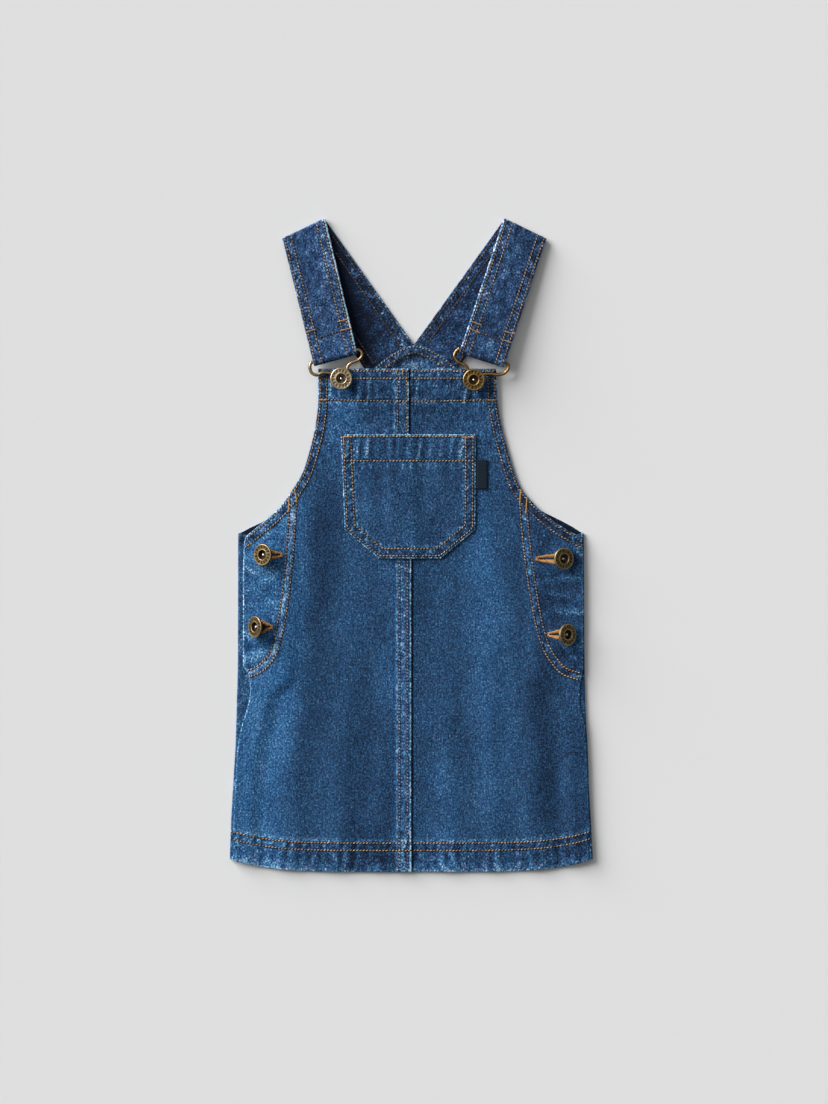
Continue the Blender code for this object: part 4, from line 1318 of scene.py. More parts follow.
        # Painted shadow of the lap's folded edge: a dark line just right of the seam
        deep = deep + bell(past_seam - 0.4, 0.7)
    seams = [0.6 * hem_band, arm_band, 0.75 * bib_band, j_band, 0.2 * side_zone]
    return cloth_shell(
        "denim_front_" + side,
        np.stack([x, h, low + CLOTH + relief - roll], axis=-1),
        np.stack([x, h, low + roll * 0.9], axis=-1),
        front_denim,
        (x, level),
        kept,
        worn=(worn, 0.4 * bell(rim, 1.0)),
        deep=(deep, 0.6),
        mottled=(np.maximum.reduce([*seams, 0.6 * on_lap * left, 0.35 * ease(285.0, 330.0, h)]), 0.4),
        faded=(streaks(x, h) - 0.05 * side_zone, 0.2),
    )


def row_across(start, end, heights, count=60):
    """A row from one x to another, at the heights that a function of x gives."""
    x = np.linspace(start, end, count)
    return np.stack([x, heights(x) + 0.0 * x], axis=1)


def front_rows(side, column):
    """Every row of a front's topstitching, with its shade and its share of bright stitches."""
    left = side == "left"
    hem_start, corner, bib_start, past = ROW_REACH[side]
    seam_end = seam_x(FRONT_TOP) + past
    rows = []
    for row in HEM_ROWS:
        rows.append((row_across(hem_start, past, lambda x: hem_height(x) + row, 120), 0.40, 0.28))
    outline = evenly(front_outline(column), 2.0)
    outline = outline[outline[:, 1] > 259.0]
    for row, end in zip(EDGE_ROWS, ROW_CORNERS[side]):
        line = inset(outline, -row if left else row)
        rows.append((line, 0.36, 0.30 if left else 0.08))
        rows.append((np.array([end, line[0]]), 0.50, 1.0))
    for row in BIB_ROWS:
        rows.append((row_across(corner, seam_end, lambda x: FRONT_TOP - row), 0.42, 0.15))
    rows.append((row_across(bib_start, seam_end, lambda x: FRONT_TOP - bib_hem(x)), 0.44, 0.25))
    for line in j_lines(side):
        turn = int(np.argmax(line[:, 1] < J_GOLD_BELOW))
        rows.append((line[:turn + 1], 0.34, 0.08))
        rows.append((line[turn:], 0.50, 0.65))
    if left:
        for row in range(len(LAP_ROWS)):
            for low, high in ((0.8, UNDER_POCKET[0]), (UNDER_POCKET[1], FRONT_TOP - 0.8)):
                h = np.linspace(low, high, 120)
                rows.append((np.stack([seam_x(h) - lap_row(row, h), h], axis=1), 0.32, 0.03))
    return rows


front_denim = denim("denim_front", 0.378, 0.03)
SIDES = {"left": (1, -1.0), "right": (2, 1.0)}
grounds = {}
for side, (column, out) in SIDES.items():
    piece = front(side, column, out)
    belongs(piece, "denim", "front_panel_" + side)
    grounds[side] = ground_of(piece)

for side, (column, _) in SIDES.items():
    parts = []
    for seed, (line, tone, bright) in enumerate(front_rows(side, column), 100 * column):
        parts += topstitch(*laid(line, grounds[side]), seed, tone, bright)
    parts += [bartack(start, end, grounds[side]) for start, end in FRONT_BARS[side]]
    thread_piece("thread_front_" + side, parts)


# ---------------------------------------------------------------------------------------------
# The chest pocket: a patch of the same denim with its lower corners clipped, turned in all round,
# hemmed deep at its mouth and sewn on over the centre seam with two rows.

POCKET_FROM_FRONT = 0.35
POCKET_SPREAD = 1.5
POCKET_RAMP = 11.0
POCKET_ROWS = (2.3, 7.9)
MOUTH_ROWS = (1.7, 20.8)
MOUTH_ENDS = (-53.4, 48.9)
SIDE_ROWS_BELOW_MOUTH = 1.4

# height, left edge, right edge
POCKET_EDGES = ((244.0, -25.5, 23.0), (266.5, -52.0, 50.0), (341.0, -55.0, 50.5))
POCKET_LOW, POCKET_TOP = POCKET_EDGES[0][0], POCKET_EDGES[-1][0]
POCKET_BARS = (
    ((-53.8, 338.9), (-46.4, 338.9)),
    ((-52.6, 338.0), (-52.4, 333.0)),
    ((40.2, 338.6), (49.0, 338.6)),
    ((42.2, 338.0), (42.3, 333.2)),
)


def pocket_side(distance):
    """The pocket's sides, clipped corners and bottom as one line, moved in by a distance."""
    corners = [(left, level) for level, left, _ in POCKET_EDGES[::-1]]
    corners = np.array(corners + [(right, level) for level, _, right in POCKET_EDGES])
    way = unit(np.diff(corners, axis=0))
    shift = distance * np.stack([-way[:, 1], way[:, 0]], axis=1)
    first, last = corners[:-1] + shift, corners[1:] + shift
    line = [first[0]]
    for k in range(len(way) - 1):
        gap = first[k + 1] - first[k]
        turn = way[k][0] * way[k + 1][1] - way[k][1] * way[k + 1][0]
        line.append(first[k] + way[k] * (gap[0] * way[k + 1][1] - gap[1] * way[k + 1][0]) / turn)
    return np.array([*line, last[-1]])


level = places(POCKET_LOW, POCKET_TOP, 1.1)[:, None]
at, *edges = np.array(POCKET_EDGES).T
x = mix(*(np.interp(level, at, edge) for edge in edges), (places(0.0, 100.0, 1.1) / 100.0)[None, :])
h = level + 0.0 * x
away, along = from_line(pocket_side(0.0), x, h)
mouth_away = POCKET_TOP - h
rim = np.minimum(away, mouth_away)
pinch = sum(bell(away - row, ROW_DENT) for row in POCKET_ROWS)
pinch = pinch + sum(bell(mouth_away - row, ROW_DENT) for row in MOUTH_ROWS)
side_band = within(-2.0, POCKET_ROWS[1] + 1.0, 0.7, away)
mouth_band = within(-2.0, MOUTH_ROWS[1] + 0.8, 0.7, mouth_away)
mouth_pucker = waver(x + 0.1 * mouth_away, 4.1, 71) * within(2.5, 19.5, 1.6, mouth_away)
below_mouth = waver(x, 3.2, 72) * within(21.5, 27.0, 1.6, mouth_away)
side_pucker = waver(along + 0.7 * away, 2.4, 73) * within(1.5, 11.0, 1.5, away)
swell = rumple(x, h, 17.0, 24.0, 74)
relief = (
    0.30 * side_band
    + 0.22 * mouth_band
    - 0.24 * np.minimum(pinch, 1.3)
    + 0.30 * mouth_pucker
    + 0.12 * below_mouth
    + 0.14 * side_pucker
    + 0.30 * swell * (1.0 - side_band)
)
relief *= mix(0.35, 1.0, ease(0.0, 2.5, rim))
low = FRONT_LIFT + CLOTH + POCKET_FROM_FRONT + lap_rise(x, h, POCKET_SPREAD, POCKET_RAMP)
roll = turned_edge(rim, CLOTH)
worn = (
    1.00 * bell(rim - 0.52, 0.52)
    + 1.10 * crest(mouth_pucker) ** 2
    + 0.62 * crest(side_pucker)
    + 0.55 * crest(below_mouth)
    + 0.30 * bell(away - POCKET_ROWS[1] - 1.7, 1.2)
)
# Darker along the stitched rows: unfaded indigo with painted shade in their grooves
deep = (
    0.45 * np.minimum(pinch, 1.2)
    + 0.55 * crest(-mouth_pucker)
    + 0.40 * crest(-side_pucker)
    + 0.08 * side_band
)
fade = 0.30 * swell + 0.32 * bell(x - 4.0, 24.0) - 0.34 + 0.45 * bell(x + 38.0, 9.0)
pocket_piece = cloth_shell(
    "denim_pocket",
    np.stack([x, h, low + CLOTH + relief - roll], axis=-1),
    np.stack([x, h, low + 0.9 * roll], axis=-1),
    front_denim,
    (x + 300.0, h),
    worn=(worn, 0.3 * worn),
    deep=(deep, 0.6),
    mottled=(0.15 + 0.6 * np.maximum(side_band, 0.4 * mouth_band), 0.3),
    faded=(fade * (1.0 - 0.5 * mouth_band), 0.0),
)
belongs(pocket_piece, "denim", "chest_pocket")
pocket_ground = ground_of(pocket_piece)
pocket_threads = []
for seed, row in enumerate(POCKET_ROWS, 81):
    line = pocket_side(row)
    line[[0, -1], 1] -= SIDE_ROWS_BELOW_MOUTH
    pocket_threads += topstitch(*laid(line, pocket_ground), seed, 0.38, 0.12)
for seed, row in enumerate(MOUTH_ROWS, 84):
    line = [(end, POCKET_TOP - row) for end in MOUTH_ENDS]
    pocket_threads += topstitch(*laid(line, pocket_ground), seed, 0.44, 0.25)
pocket_threads += [bartack(start, end, pocket_ground, wide=1.1) for start, end in POCKET_BARS]
thread_piece("thread_pocket", pocket_threads)


# ---------------------------------------------------------------------------------------------
# The tab in the pocket's right seam: a short piece of dark woven tape, folded double and caught in
# the stitching. It is left bare.

TAB_LEFT = 50.9
TAB_WIDTH = 8.2
TAB_ENDS = (298.5, 321.0)
TAPE = 0.52
TAB_LAYERS = (3.21, 3.87)


def tape_weave():
    """Close woven polyester, its ribs running along the tape."""
    material, tree, shader = surface(
        "tape", Roughness=0.75, Specular_IOR_Level=0.12, Sheen_Weight=0.02, Sheen_Roughness=0.4
    )
    grain = read(tree, "grain", "Vector")
    rib, pick = (
        add(tree, "TexWave", {"Vector": grain, "Scale": scale}, bands_direction=way).outputs["Fac"]
        for scale, way in ((0.55, "Y"), (0.75, "X"))
    )
    weave = sums(tree, (rib, 0.6), (pick, 0.4))
    colour = tinted(tree, weave, (0.0060, 0.0120, 0.0210, 1.0), (0.0110, 0.0200, 0.0340, 1.0))
    finished(tree, shader, colour, weave, 0.5, 0.12)
    return material


radius = (TAB_LAYERS[1] - TAB_LAYERS[0]) / 2.0
turn = np.linspace(-pi / 2.0, pi / 2.0, 11)[1:-1]
run = TAB_LEFT + np.linspace(0.0, TAB_WIDTH - radius - TAPE / 2.0, 12)
still = 0.0 * run
x = np.concatenate([run, run[-1] + radius * np.cos(turn), run[::-1]])
z = np.concatenate([
    still + TAB_LAYERS[0], sum(TAB_LAYERS) / 2.0 + radius * np.sin(turn), still + TAB_LAYERS[1]
])
out_x = np.concatenate([still, np.cos(turn), still])
out_z = np.concatenate([still - 1.0, np.sin(turn), still + 1.0])
level = places(*TAB_ENDS, 1.3, (0.0, 0.1, 0.25, 0.6))[:, None]
half = TAPE / 2.0 - turned_edge(np.minimum(level - TAB_ENDS[0], TAB_ENDS[1] - level), TAPE)
h = level + 0.0 * x
along = lengths(np.stack([x, z], axis=1))
tab_piece = cloth_shell(
    "tape_tab",
    *(np.stack([x + side * out_x, h, z + side * out_z], axis=-1) for side in (-half, half)),
    tape_weave(),
    (along, h),
)
belongs(tab_piece, "tape", "pocket_tab")


# ---------------------------------------------------------------------------------------------
# The two shoulder straps: denim sewn double with two rows along each edge. Each runs up from under
# the facing, is folded flat at the shoulder and looped round its buckle's bar, with the end
# turned back and tacked.

STRAP_CLOTH = 2.0
STRAP_END_HEIGHT = 2.45
STRAP_DROP = (5.0, 14.0)
SHOULDER_BEND = 1.6
WIRE = 2.5
BUCKLE_PLANE = 7.5
BAR_BEND = WIRE / 2.0 + 0.35 + STRAP_CLOTH / 2.0
STRAP_TAIL = 27.0
STRAP_TAIL_RISE = 1.4
STRAP_ROWS = ((1.9, 7.3), (2.6, 8.0))
STRAP_STEP = 1.15
STRAP_ROWS_ABOVE = 0.50

# shares of the way from the facing to the tail's end: a place on the front run, where that run
# starts to show, and where the rows on the other face end
ON_FRONT_RUN = 0.6
FRONT_SHOWS = 0.46
BACK_ROWS_END = 0.44

# x and height of each strap's corners as it lies, outer one first: shoulder crease, buckled end,
# at the back's arch and caught under the facing
STRAPS = {
    "left": {
        "crease": ((-101.0, 493.5), (-67.5, 509.5)),
        "end": ((-75.5, 393.5), (-41.5, 403.0)),
        "arch": ((-34.0, 388.0), (1.7, 411.2)),
        "caught": ((-32.0, 385.5), (1.7, 407.5)),
    },
    "right": {
        "crease": ((105.5, 493.5), (72.5, 509.5)),
        "end": ((72.0, 392.6), (37.0, 403.5)),
        "arch": ((36.0, 391.8), (2.3, 411.2)),
        "caught": ((34.0, 389.3), (2.3, 407.5)),
    },
}
STRAP_BARS = {
    "left": (
        ((-83.6, 419.4), (-74.6, 422.4)),
        ((-57.2, 428.2), (-48.6, 430.4)),
        ((-55.2, 421.2), (-46.6, 423.4)),
    ),
    "right": (
        ((46.8, 428.6), (54.4, 425.6)),
        ((45.2, 422.9), (53.4, 419.6)),
        ((72.0, 420.9), (80.6, 418.6)),
        ((70.4, 414.4), (79.0, 411.8)),
    ),
}
STRAP_TIES = {"left": ((-74.0, 415.2), (-55.5, 420.9)), "right": ((54.5, 419.3), (71.0, 414.4))}

# first seed, wear of the inner edge, fading, and start of the grain across the cloth
STRAP_LOOKS = {"left": (200, 2.2, 0.12, 500.0), "right": (300, 1.5, -0.30, 600.0)}


def crease_way(outer, inner, away_from):
    """The direction square to a crease, on its side away from a point."""
    across = unit(inner - outer)
    square = np.array([-across[1], across[0]])
    return square if np.dot(outer - away_from, square) > 0.0 else -square


def strap_bar(side):
    """Both ends of the buckle's bar inside a strap's looped end, and the way down the strap."""
    end, crease = (np.array(STRAPS[side][line]) for line in ("end", "crease"))
    down = crease_way(*end, crease[0])
    return end - down * (BAR_BEND + STRAP_CLOTH / 2.0), down


def strap_stations(side):
    """Outer and inner edge of the strap's middle layer, from the facing to the turned-back end."""
    crease, arch_ends, caught = (np.array(STRAPS[side][line]) for line in ("crease", "arch", "caught"))
    up = crease_way(*crease, arch_ends[0])
    fold = crease - up * (SHOULDER_BEND + STRAP_CLOTH / 2.0)
    bar, down = strap_bar(side)
    low = STRAP_CLOTH / 2.0
    stations = [(caught, STRAP_END_HEIGHT)]
    run = np.linalg.norm(fold[0] - arch_ends[0])
    for away in np.linspace(0.0, run, round(run / STRAP_STEP))[:-1]:
        z = mix(STRAP_END_HEIGHT, low, ease(*STRAP_DROP, away))
        stations.append((mix(arch_ends, fold, away / run), z))
    for turn in np.linspace(0.0, pi, 15):
        z = low + SHOULDER_BEND * (1.0 - cos(turn))
        stations.append((fold + up * SHOULDER_BEND * sin(turn), z))
    run = np.linalg.norm(bar[0] - fold[0])
    for share in np.linspace(0.0, 1.0, round(run / STRAP_STEP))[1:-1]:
        z = mix(low + 2.0 * SHOULDER_BEND, BUCKLE_PLANE + BAR_BEND, share)
        stations.append((mix(fold, bar, share), z))
    for turn in np.linspace(0.0, pi, 19):
        stations.append((bar + down * BAR_BEND * sin(turn), BUCKLE_PLANE + BAR_BEND * cos(turn)))
    for share in np.linspace(0.0, 1.0, 25)[1:]:
        z = BUCKLE_PLANE - BAR_BEND + STRAP_TAIL_RISE * share
        stations.append((mix(bar, fold, STRAP_TAIL / run * share), z))
    return np.moveaxis(np.array([np.column_stack([ends, (z, z)]) for ends, z in stations]), 1, 0)


def strap(side, material):
    """One strap, with its rows along both faces and the bars that hold its end."""
    left = side == "left"
    seed, edge_wear, fade, grain_start = STRAP_LOOKS[side]
    outer, inner = strap_stations(side)
    width = float(np.mean(np.linalg.norm(inner - outer, axis=1)))
    share = places(0.0, width, 1.15) / width
    middle = mix(outer[:, None, :], inner[:, None, :], share[None, :, None])
    normal = unit(np.cross(np.gradient(middle, axis=0), (inner - outer)[:, None, :] + 0.0 * middle))
    # The face that is up on the front run is the strap's outside
    if normal[int(len(outer) * ON_FRONT_RUN), 0, 2] < 0.0:
        normal = -normal
    along = lengths((outer + inner) / 2.0)
    length = float(along[-1])
    s = along[:, None] + 0.0 * middle[..., 0]
    w = share[None, :] * width + 0.0 * s
    edge_away = np.minimum(w, width - w)
    rim = np.minimum(edge_away, length - s)
    sewn_at = [*STRAP_ROWS[0], *(width - row for row in STRAP_ROWS[1])]
    pinch = sum(bell(w - row, ROW_DENT) for row in sewn_at)
    band = 1.0 - within(sewn_at[1] + 0.8, sewn_at[3] - 0.8, 0.8, w)
    rope = waver(s + 0.8 * edge_away, 2.3, seed + 1 + left) * within(0.8, 8.6, 0.9, edge_away)
    patches = crest(rumple(w + 20.0, s, 4.6, 6.0, seed + 5))
    soft = rumple(w + 50.0, s, 9.0, 13.0, seed + 3)
    half = STRAP_CLOTH / 2.0 - turned_edge(rim, STRAP_CLOTH)
    relief = -0.22 * np.minimum(pinch, 1.2) + 0.13 * rope + 0.12 * soft * (1.0 - band)
    relief = relief * ease(0.2, 2.0, rim)
    inner_edge = edge_wear * bell(width - w - 0.75, 0.60)
    on_front = within(along[int(len(outer) * FRONT_SHOWS)], length - 40.0, 6.0, s)
    crease = bell(middle[..., 2] - STRAP_CLOTH / 2.0 - SHOULDER_BEND, 1.3)
    crease = crease * (s < length - 45.0) * (s > 40.0)
    worn = (
        0.45 * bell(rim, 0.8) * (1.0 - 0.7 * crease)
        + 0.75 * inner_edge * on_front
        + 0.50 * crest(rope)
        + 0.28 * crest(soft)
        + 0.30 * patches
        + 0.05 * crease
    )
    # Darker along the stitched rows: unfaded indigo with painted shade in their grooves
    deep = 0.40 * np.minimum(pinch, 1.2) + 0.40 * crest(-rope) + 0.15 * crest(-soft)
    # Painted shadow: the face towards the body is darkened where the left strap's front run lies over it
    (_, _), (crease_x, crease_h) = STRAPS[side]["crease"]
    (_, _), (end_x, end_h) = STRAPS[side]["end"]
    front_inner = np.interp(middle[..., 1], [end_h, crease_h], [end_x, crease_x])
    painted_strap_shadow = 2.0 * np.exp(-crest(middle[..., 0] - front_inner) / 15.0) * left
    top = middle + normal * (half + relief)[..., None]
    bottom = middle - normal * (half + 0.7 * relief)[..., None]
    top[..., 2] = crest(top[..., 2])
    piece = cloth_shell(
        "denim_strap_" + side,
        top,
        bottom,
        material,
        (w + grain_start, s),
        mirrored=left,
        worn=(worn, worn + 0.35 * patches * band + 0.35 * inner_edge * (1.0 - on_front) * left),
        deep=(deep, deep + 0.22 + painted_strap_shadow),
        mottled=0.60 + 0.4 * band,
        faded=0.22 * rumple(w + 80.0, s, 22.0, 30.0, seed + 4) + fade,
    )
    belongs(piece, "denim_strap", "strap_" + side)
    parts = []
    faces = (
        (top, normal, len(top) - 2, 0.34, 0.10),
        (bottom, -normal, int(len(top) * BACK_ROWS_END), 0.14, 0.0),
    )
    for across in sewn_at:
        at = np.searchsorted(share * width, across)
        low, high = share[at - 1] * width, share[at] * width
        blend = (across - low) / (high - low)
        for points, direction, last, tone, gold in faces:
            line, way = (mix(one[4:last, at - 1], one[4:last, at], blend) for one in (points, direction))
            line[:, 2] = np.maximum(line[:, 2], STRAP_ROWS_ABOVE)
            parts += topstitch(line, way, seed + len(parts), tone, gold)
    ground = ground_of(piece)
    parts += [bartack(start, end, ground, wide=0.9, shade=0.82) for start, end in STRAP_BARS[side]]
    parts += topstitch(*laid(STRAP_TIES[side], ground), seed + 40, 0.22, 0.0, 0.6)
    thread_piece("thread_strap_" + side, parts)


strap_denim = denim("denim_strap", 0.352, 0.62)
for side in SIDES:
    strap(side, strap_denim)


# ---------------------------------------------------------------------------------------------
# The two buckles: one closed wire of antique brass each, with a bar in the strap's loop, two
# shoulders and a keyhole that hooks round the bib's button.

SHANK = 5.0
BAR_PAST = 1.1
KEYHOLE_REACH = (SHANK + WIRE) / 2.0 + 0.7
KEYHOLE_PAST = 0.15
BIB_BUTTONS = {"left": (-54.5, 384.0), "right": (48.5, 383.0)}

# x and height of the wire's bends: from the bar's inner end down to the keyhole, and from there
# round the outer shoulder back up to the bar
BUCKLE_INNER = {
    "left": ((-38.7, 404.6), (-38.6, 401.2), (-41.8, 398.4), (-46.8, 396.2), (-49.6, 393.2)),
    "right": ((34.4, 404.8), (33.5, 401.4), (35.6, 397.6), (40.0, 395.2), (43.6, 392.4)),
}
BUCKLE_OUTER = {
    "left": (
        (-61.5, 388.0), (-68.5, 388.8), (-73.5, 386.9), (-77.4, 388.6), (-78.8, 392.2), (-78.6, 395.2),
    ),
    "right": (
        (56.0, 387.2), (62.0, 387.8), (67.5, 387.1), (72.2, 388.2), (75.1, 391.2), (75.6, 394.0),
    ),
}


def speckled(tree, scale, detail=2.0):
    """Fine unevenness over a metal piece."""
    return noise(tree, add(tree, "TexCoord").outputs["Object"], scale, detail)


def rough_from(tree, shader, level, low, high):
    """Sets how rough a metal is, from low to high as a level goes from 0 to 1."""
    rough = add(tree, "MapRange", {"Value": level, 3: low, 4: high})
    tree.links.new(rough.outputs[0], shader.inputs["Roughness"])


def brass(name, bright, dull, roughness):
    """Antique brass: darkened in its hollows and grooves and rubbed bright at its edges; on a wire,
    painted light along its top and painted shade down its sides.
    """
    material, tree, shader = surface(name, Metallic=1.0, Specular_IOR_Level=0.5)
    speck = centred(tree, speckled(tree, 1500.0))
    cloud = centred(tree, speckled(tree, 420.0, 3.0))
    level = sums(tree, (read(tree, "shade"), 1.0), (cloud, 0.9), (speck, 0.5))
    dark = tuple(value * 0.22 for value in dull)
    colour = shaded(tree, level, (0.0, dark), (0.45, dull), (1.0, bright))
    rough_from(tree, shader, level, roughness + 0.2, roughness - 0.06)
    finished(tree, shader, colour, speck, 0.25, 0.05)
    return material


def ringed(rows, columns):
    """The faces between neighbouring rings of points, seen from outside."""
    number = np.arange(rows * columns).reshape(rows, columns)
    after = np.roll(number, -1, axis=0)
    return np.stack([number, np.roll(number, -1, 1), np.roll(after, -1, 1), after], axis=-1)[..., ::-1]


def closed_wire(name, path, height, material):
    """A round wire along a closed level path, with painted light on its top and painted shade below."""
    way = unit(np.roll(path, -1, axis=0) - np.roll(path, 1, axis=0))
    turn = 2.0 * pi * np.arange(14) / 14.0
    radius = WIRE / 2.0
    points = np.empty((len(path), len(turn), 3))
    out = np.stack([-way[:, 1], way[:, 0]], axis=1)
    points[..., :2] = path[:, None, :] + out[:, None, :] * (radius * np.cos(turn))[None, :, None]
    points[..., 2] = height + radius * np.sin(turn)
    # Painted light and shade: the wire's colour is brightest on top and darkest underneath
    shade = 0.30 + 0.50 * np.sin(turn)[None, :] + 0.12 * waver(np.arange(len(path)), 5.0, 91)[:, None]
    faces = ringed(len(path), len(turn)).reshape(-1, 4).tolist()
    return made(name, on_table(points.reshape(-1, 3)), faces, material, shade=shade.ravel())


wire_brass = {
    "left": brass("wire_left", (0.56, 0.40, 0.22), (0.22, 0.145, 0.070), 0.30),
    "right": brass("wire_right", (0.50, 0.30, 0.11), (0.19, 0.105, 0.035), 0.30),
}
for side, (_, out) in SIDES.items():
    bar, _ = strap_bar(side)
    past = BAR_PAST * unit(bar[1] - bar[0])
    turns = np.linspace(KEYHOLE_PAST, -pi - KEYHOLE_PAST, 7)
    keyhole = KEYHOLE_REACH * np.stack([-out * np.cos(turns), np.sin(turns)], axis=1)
    ends = [bar[0] - past, bar[0], (bar[0] + bar[1]) / 2.0, bar[1], bar[1] + past]
    knots = np.vstack([ends, BUCKLE_INNER[side], keyhole + BIB_BUTTONS[side], BUCKLE_OUTER[side]])
    around = [np.roll(knots, shift, axis=0) for shift in (1, 0, -1, -2)]
    path = np.vstack([curve_piece(*four, 6) for four in zip(*around)])
    piece = closed_wire("brass_buckle_" + side, path, BUCKLE_PLANE, wire_brass[side])
    belongs(piece, "wire", "buckle_" + side)


# ---------------------------------------------------------------------------------------------
# The six tack buttons: stamped antique brass rings with a rolled rim and plain radial ticks, each
# on a steel tack whose tip shows in the middle. The bib's two hold the buckles, and the four at
# the sides lean out through orange-worked buttonholes.

BUTTON_RADIUS = 8.6
CAP_UNDERSIDE = 3.3
SHANK_TOP = 3.40
RIM_DEPTH = 1.6
LOW_RIM_CLEAR = 0.5
FROM_WIRE = 0.35
FOOT_CLEAR = 0.35
TICKS = 15
TICK_BAND = (5.1, 7.2)
TICK_DEPTH = 0.22
BUTTON_STEPS = 180
HOLE_BAND = 0.75

# radius, depth from the cap's face, shade from 0 in the hollow to 1 on a rubbed edge: the cap from
# its hollow out over the rim and back in to the shank
CAP_SECTION = (
    (2.10, -2.85, 0.05),
    (2.90, -2.80, 0.05),
    (3.40, -2.60, 0.05),
    (3.56, -2.00, 0.08),
    (3.64, -1.00, 0.12),
    (3.74, -0.35, 0.45),
    (3.96, -0.05, 0.95),
    (4.28, 0.00, 0.90),
    (4.60, -0.12, 0.40),
    (5.00, -0.20, 0.36),
    (5.20, -0.20, 0.36),
    (6.10, -0.20, 0.38),
    (7.00, -0.20, 0.38),
    (7.30, -0.20, 0.36),
    (7.70, -0.12, 0.60),
    (7.95, -0.08, 0.95),
    (8.20, -0.20, 0.90),
    (8.46, -0.55, 0.55),
    (BUTTON_RADIUS, -1.05, 0.30),
    (8.48, -1.50, 0.40),
    (8.00, -1.80, 0.20),
    (6.00, -2.50, 0.10),
    (3.20, -3.25, 0.10),
    (SHANK / 2.0, -SHANK_TOP, 0.10),
)
TACK_SECTION = (
    (0.00, -1.05, 1.0),
    (0.35, -1.08, 1.0),
    (0.70, -1.20, 0.9),
    (1.05, -1.55, 0.8),
    (1.30, -2.10, 0.6),
    (1.55, -2.50, 0.4),
    (2.00, -2.70, 0.2),
    (2.12, -2.95, 0.1),
)


def spun(name, section, material, place, lean, ticked=False):
    """A turned piece from half its section, tilted and set in place."""
    turn = 2.0 * pi * np.arange(BUTTON_STEPS) / BUTTON_STEPS
    radius, depth, shade = (column[:, None] + 0.0 * turn for column in np.array(section).T)
    if ticked:
        cut = np.clip(2.2 * np.cos(TICKS * turn) - 0.4, 0.0, 1.0) * within(*TICK_BAND, 0.1, radius)
        depth = depth - TICK_DEPTH * cut
        shade = shade * (1.0 - 0.95 * cut)
    x = radius * np.cos(turn)
    tilt = radians(lean)
    tilted_x = x * cos(tilt) + depth * sin(tilt)
    tilted_z = depth * cos(tilt) - x * sin(tilt)
    points = np.stack([tilted_x, radius * np.sin(turn), tilted_z], axis=-1) + np.array(place)
    faces = ringed(len(section), BUTTON_STEPS)[:-1].reshape(-1, 4).tolist()
    number = np.arange(radius.size).reshape(radius.shape)
    faces += [number[-1][::-1].tolist(), number[0].tolist()]
    piece = made(name, on_table(points.reshape(-1, 3)), faces, material, shade=shade.ravel())
    piece.data.set_sharp_from_angle(angle=radians(50.0))
    return piece


def bare_steel():
    material, tree, shader = surface("bare_steel", Metallic=1.0)
    speck = speckled(tree, 1800.0)
    level = sums(tree, (read(tree, "shade"), 0.9), (speck, 0.2))
    colour = shaded(tree, level, (0.0, (0.030, 0.026, 0.022)), (1.0, (0.780, 0.770, 0.750)))
    tree.links.new(colour, shader.inputs["Base Color"])
    rough_from(tree, shader, speck, 0.2, 0.4)
    return material


steel = bare_steel()


def tack_button(node, place, lean, shank_end, material):
    """Cap with its shank, and the tack's tip in the hollow."""
    section = list(CAP_SECTION)
    for inward, share in ((0.0, 0.5), (0.0, 0.92), (0.25, 1.0)):
        section.append((SHANK / 2.0 - inward, -mix(SHANK_TOP, shank_end, share), 0.15))
    belongs(spun("brass_" + node, section, material, place, lean, ticked=True), "button", node)
    belongs(spun("steel_" + node, TACK_SECTION, steel, place, lean), "tack")


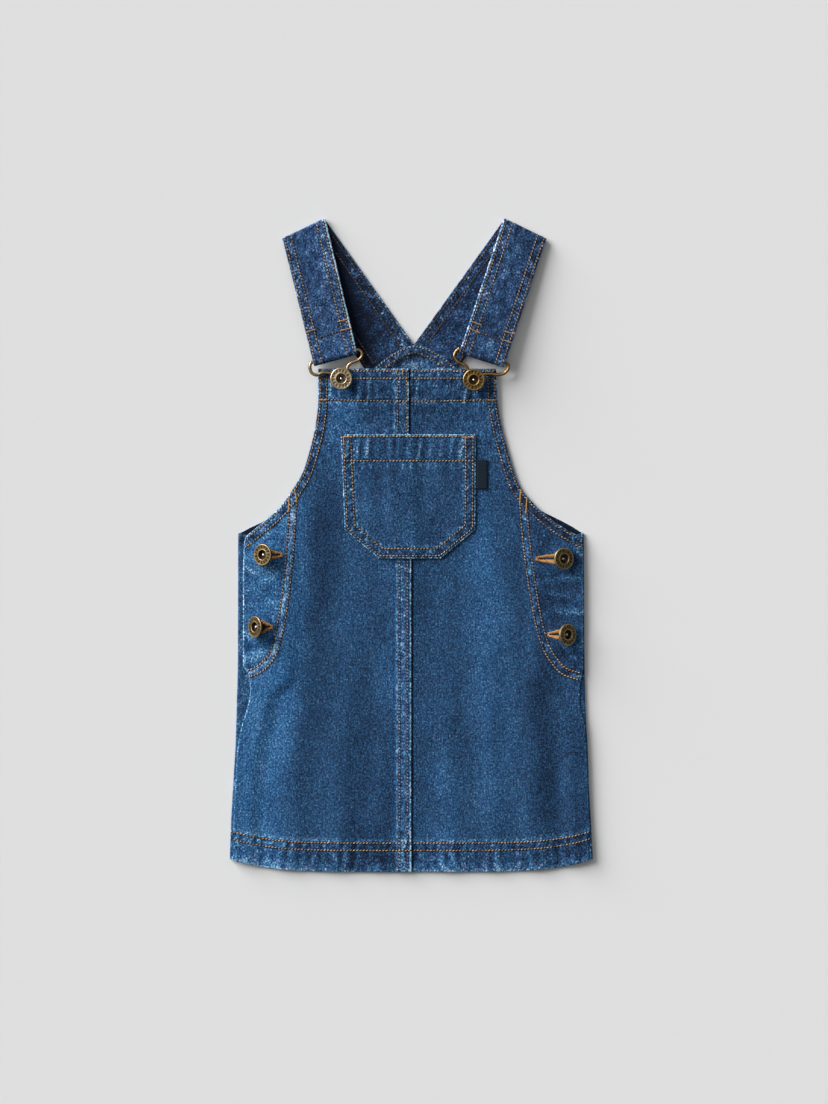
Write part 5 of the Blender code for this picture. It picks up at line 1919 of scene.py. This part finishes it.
def worked_hole(node, x, height, lean, hole_end, ground):
    """The buttonhole's edge, covered with close stitches from its slit out, and barred at its tip."""
    foot = shank_foot(x, lean)
    closed = evenly(buttonhole(x, height, lean, hole_end), 0.5)
    area = np.dot(closed[:-1, 0], closed[1:, 1]) - np.dot(closed[:-1, 1], closed[1:, 0])
    outside = -1.0 if area > 0.0 else 1.0
    points, facing = laid(inset(closed, outside * HOLE_BAND), ground)
    outward = outside * unit(np.cross(facing, unit(np.gradient(points, axis=0))))
    to_tip = np.clip((points[:, 0] - foot) / (hole_end - foot), 0.0, 1.0)[:, None]
    half_open = mix(HOLE_ROUND[1], HOLE_SLIT, to_tip)
    reach_in = outward * (HOLE_BAND + mix(0.2, half_open - 0.30, ease(0.02, 0.24, to_tip)))
    reach_out = outward * mix(1.20, 0.70, to_tip)
    shades = 0.85 + 0.14 * waver(np.arange(len(points)), 1.0, 95)
    parts = [threads(points - reach_in, points + reach_out, facing, 0.66, 0.35, shades, sides=5)]
    tip_x = hole_end + (0.4 if hole_end > foot else -0.4)
    parts.append(bartack((tip_x, height - 1.3), (tip_x, height + 1.3), ground, wide=2.8, shade=0.97))
    thread_piece("thread_hole_" + node, parts)


def cloth_at(x, height):
    """The highest face of the front under some places at one height."""
    return float(under_front(np.array(x), np.full(len(x), height)).max()) + CLOTH


bib_brass = {
    "left": brass("button_bib_left", (0.66, 0.54, 0.36), (0.40, 0.31, 0.19), 0.38),
    "right": brass("button_bib_right", (0.46, 0.31, 0.13), (0.19, 0.115, 0.042), 0.36),
}
# The left pair's brass is darker than the right pair's: painted shade against the window's reflection in
# them
side_brass = {
    "left": brass("button_side_left", (0.33, 0.24, 0.125), (0.120, 0.086, 0.040), 0.46),
    "right": brass("button_side_right", (0.50, 0.39, 0.215), (0.230, 0.170, 0.085), 0.46),
}

for side, (x, height) in BIB_BUTTONS.items():
    face = BUCKLE_PLANE + WIRE / 2.0 + FROM_WIRE + CAP_UNDERSIDE
    cloth = cloth_at([x - SHANK / 2.0, x, x + SHANK / 2.0], height)
    tack_button("bib_button_" + side, (x, height, face), 0.0, face - cloth - FOOT_CLEAR, bib_brass[side])

for node, x, height, lean, hole_end in SIDE_BUTTONS:
    side = "left" if x < 0.0 else "right"
    outward = SIDES[side][1]
    tilt = radians(lean)
    cloth = cloth_at([x + outward * BUTTON_RADIUS * cos(tilt)], height)
    face = cloth + LOW_RIM_CLEAR + BUTTON_RADIUS * sin(tilt) + RIM_DEPTH * cos(tilt)
    foot = np.array([shank_foot(x, lean)])
    stand_top = STAND_MIDDLE + CLOTH / 2.0 + float(mound(foot, np.array([height]), STAND_MOUND)[0])
    shank_base = stand_top + FOOT_CLEAR + SHANK / 2.0 * sin(tilt)
    tack_button(node, (x, height, face), outward * lean, (face - shank_base) / cos(tilt), side_brass[side])
    worked_hole(node, x, height, lean, hole_end, grounds[side])
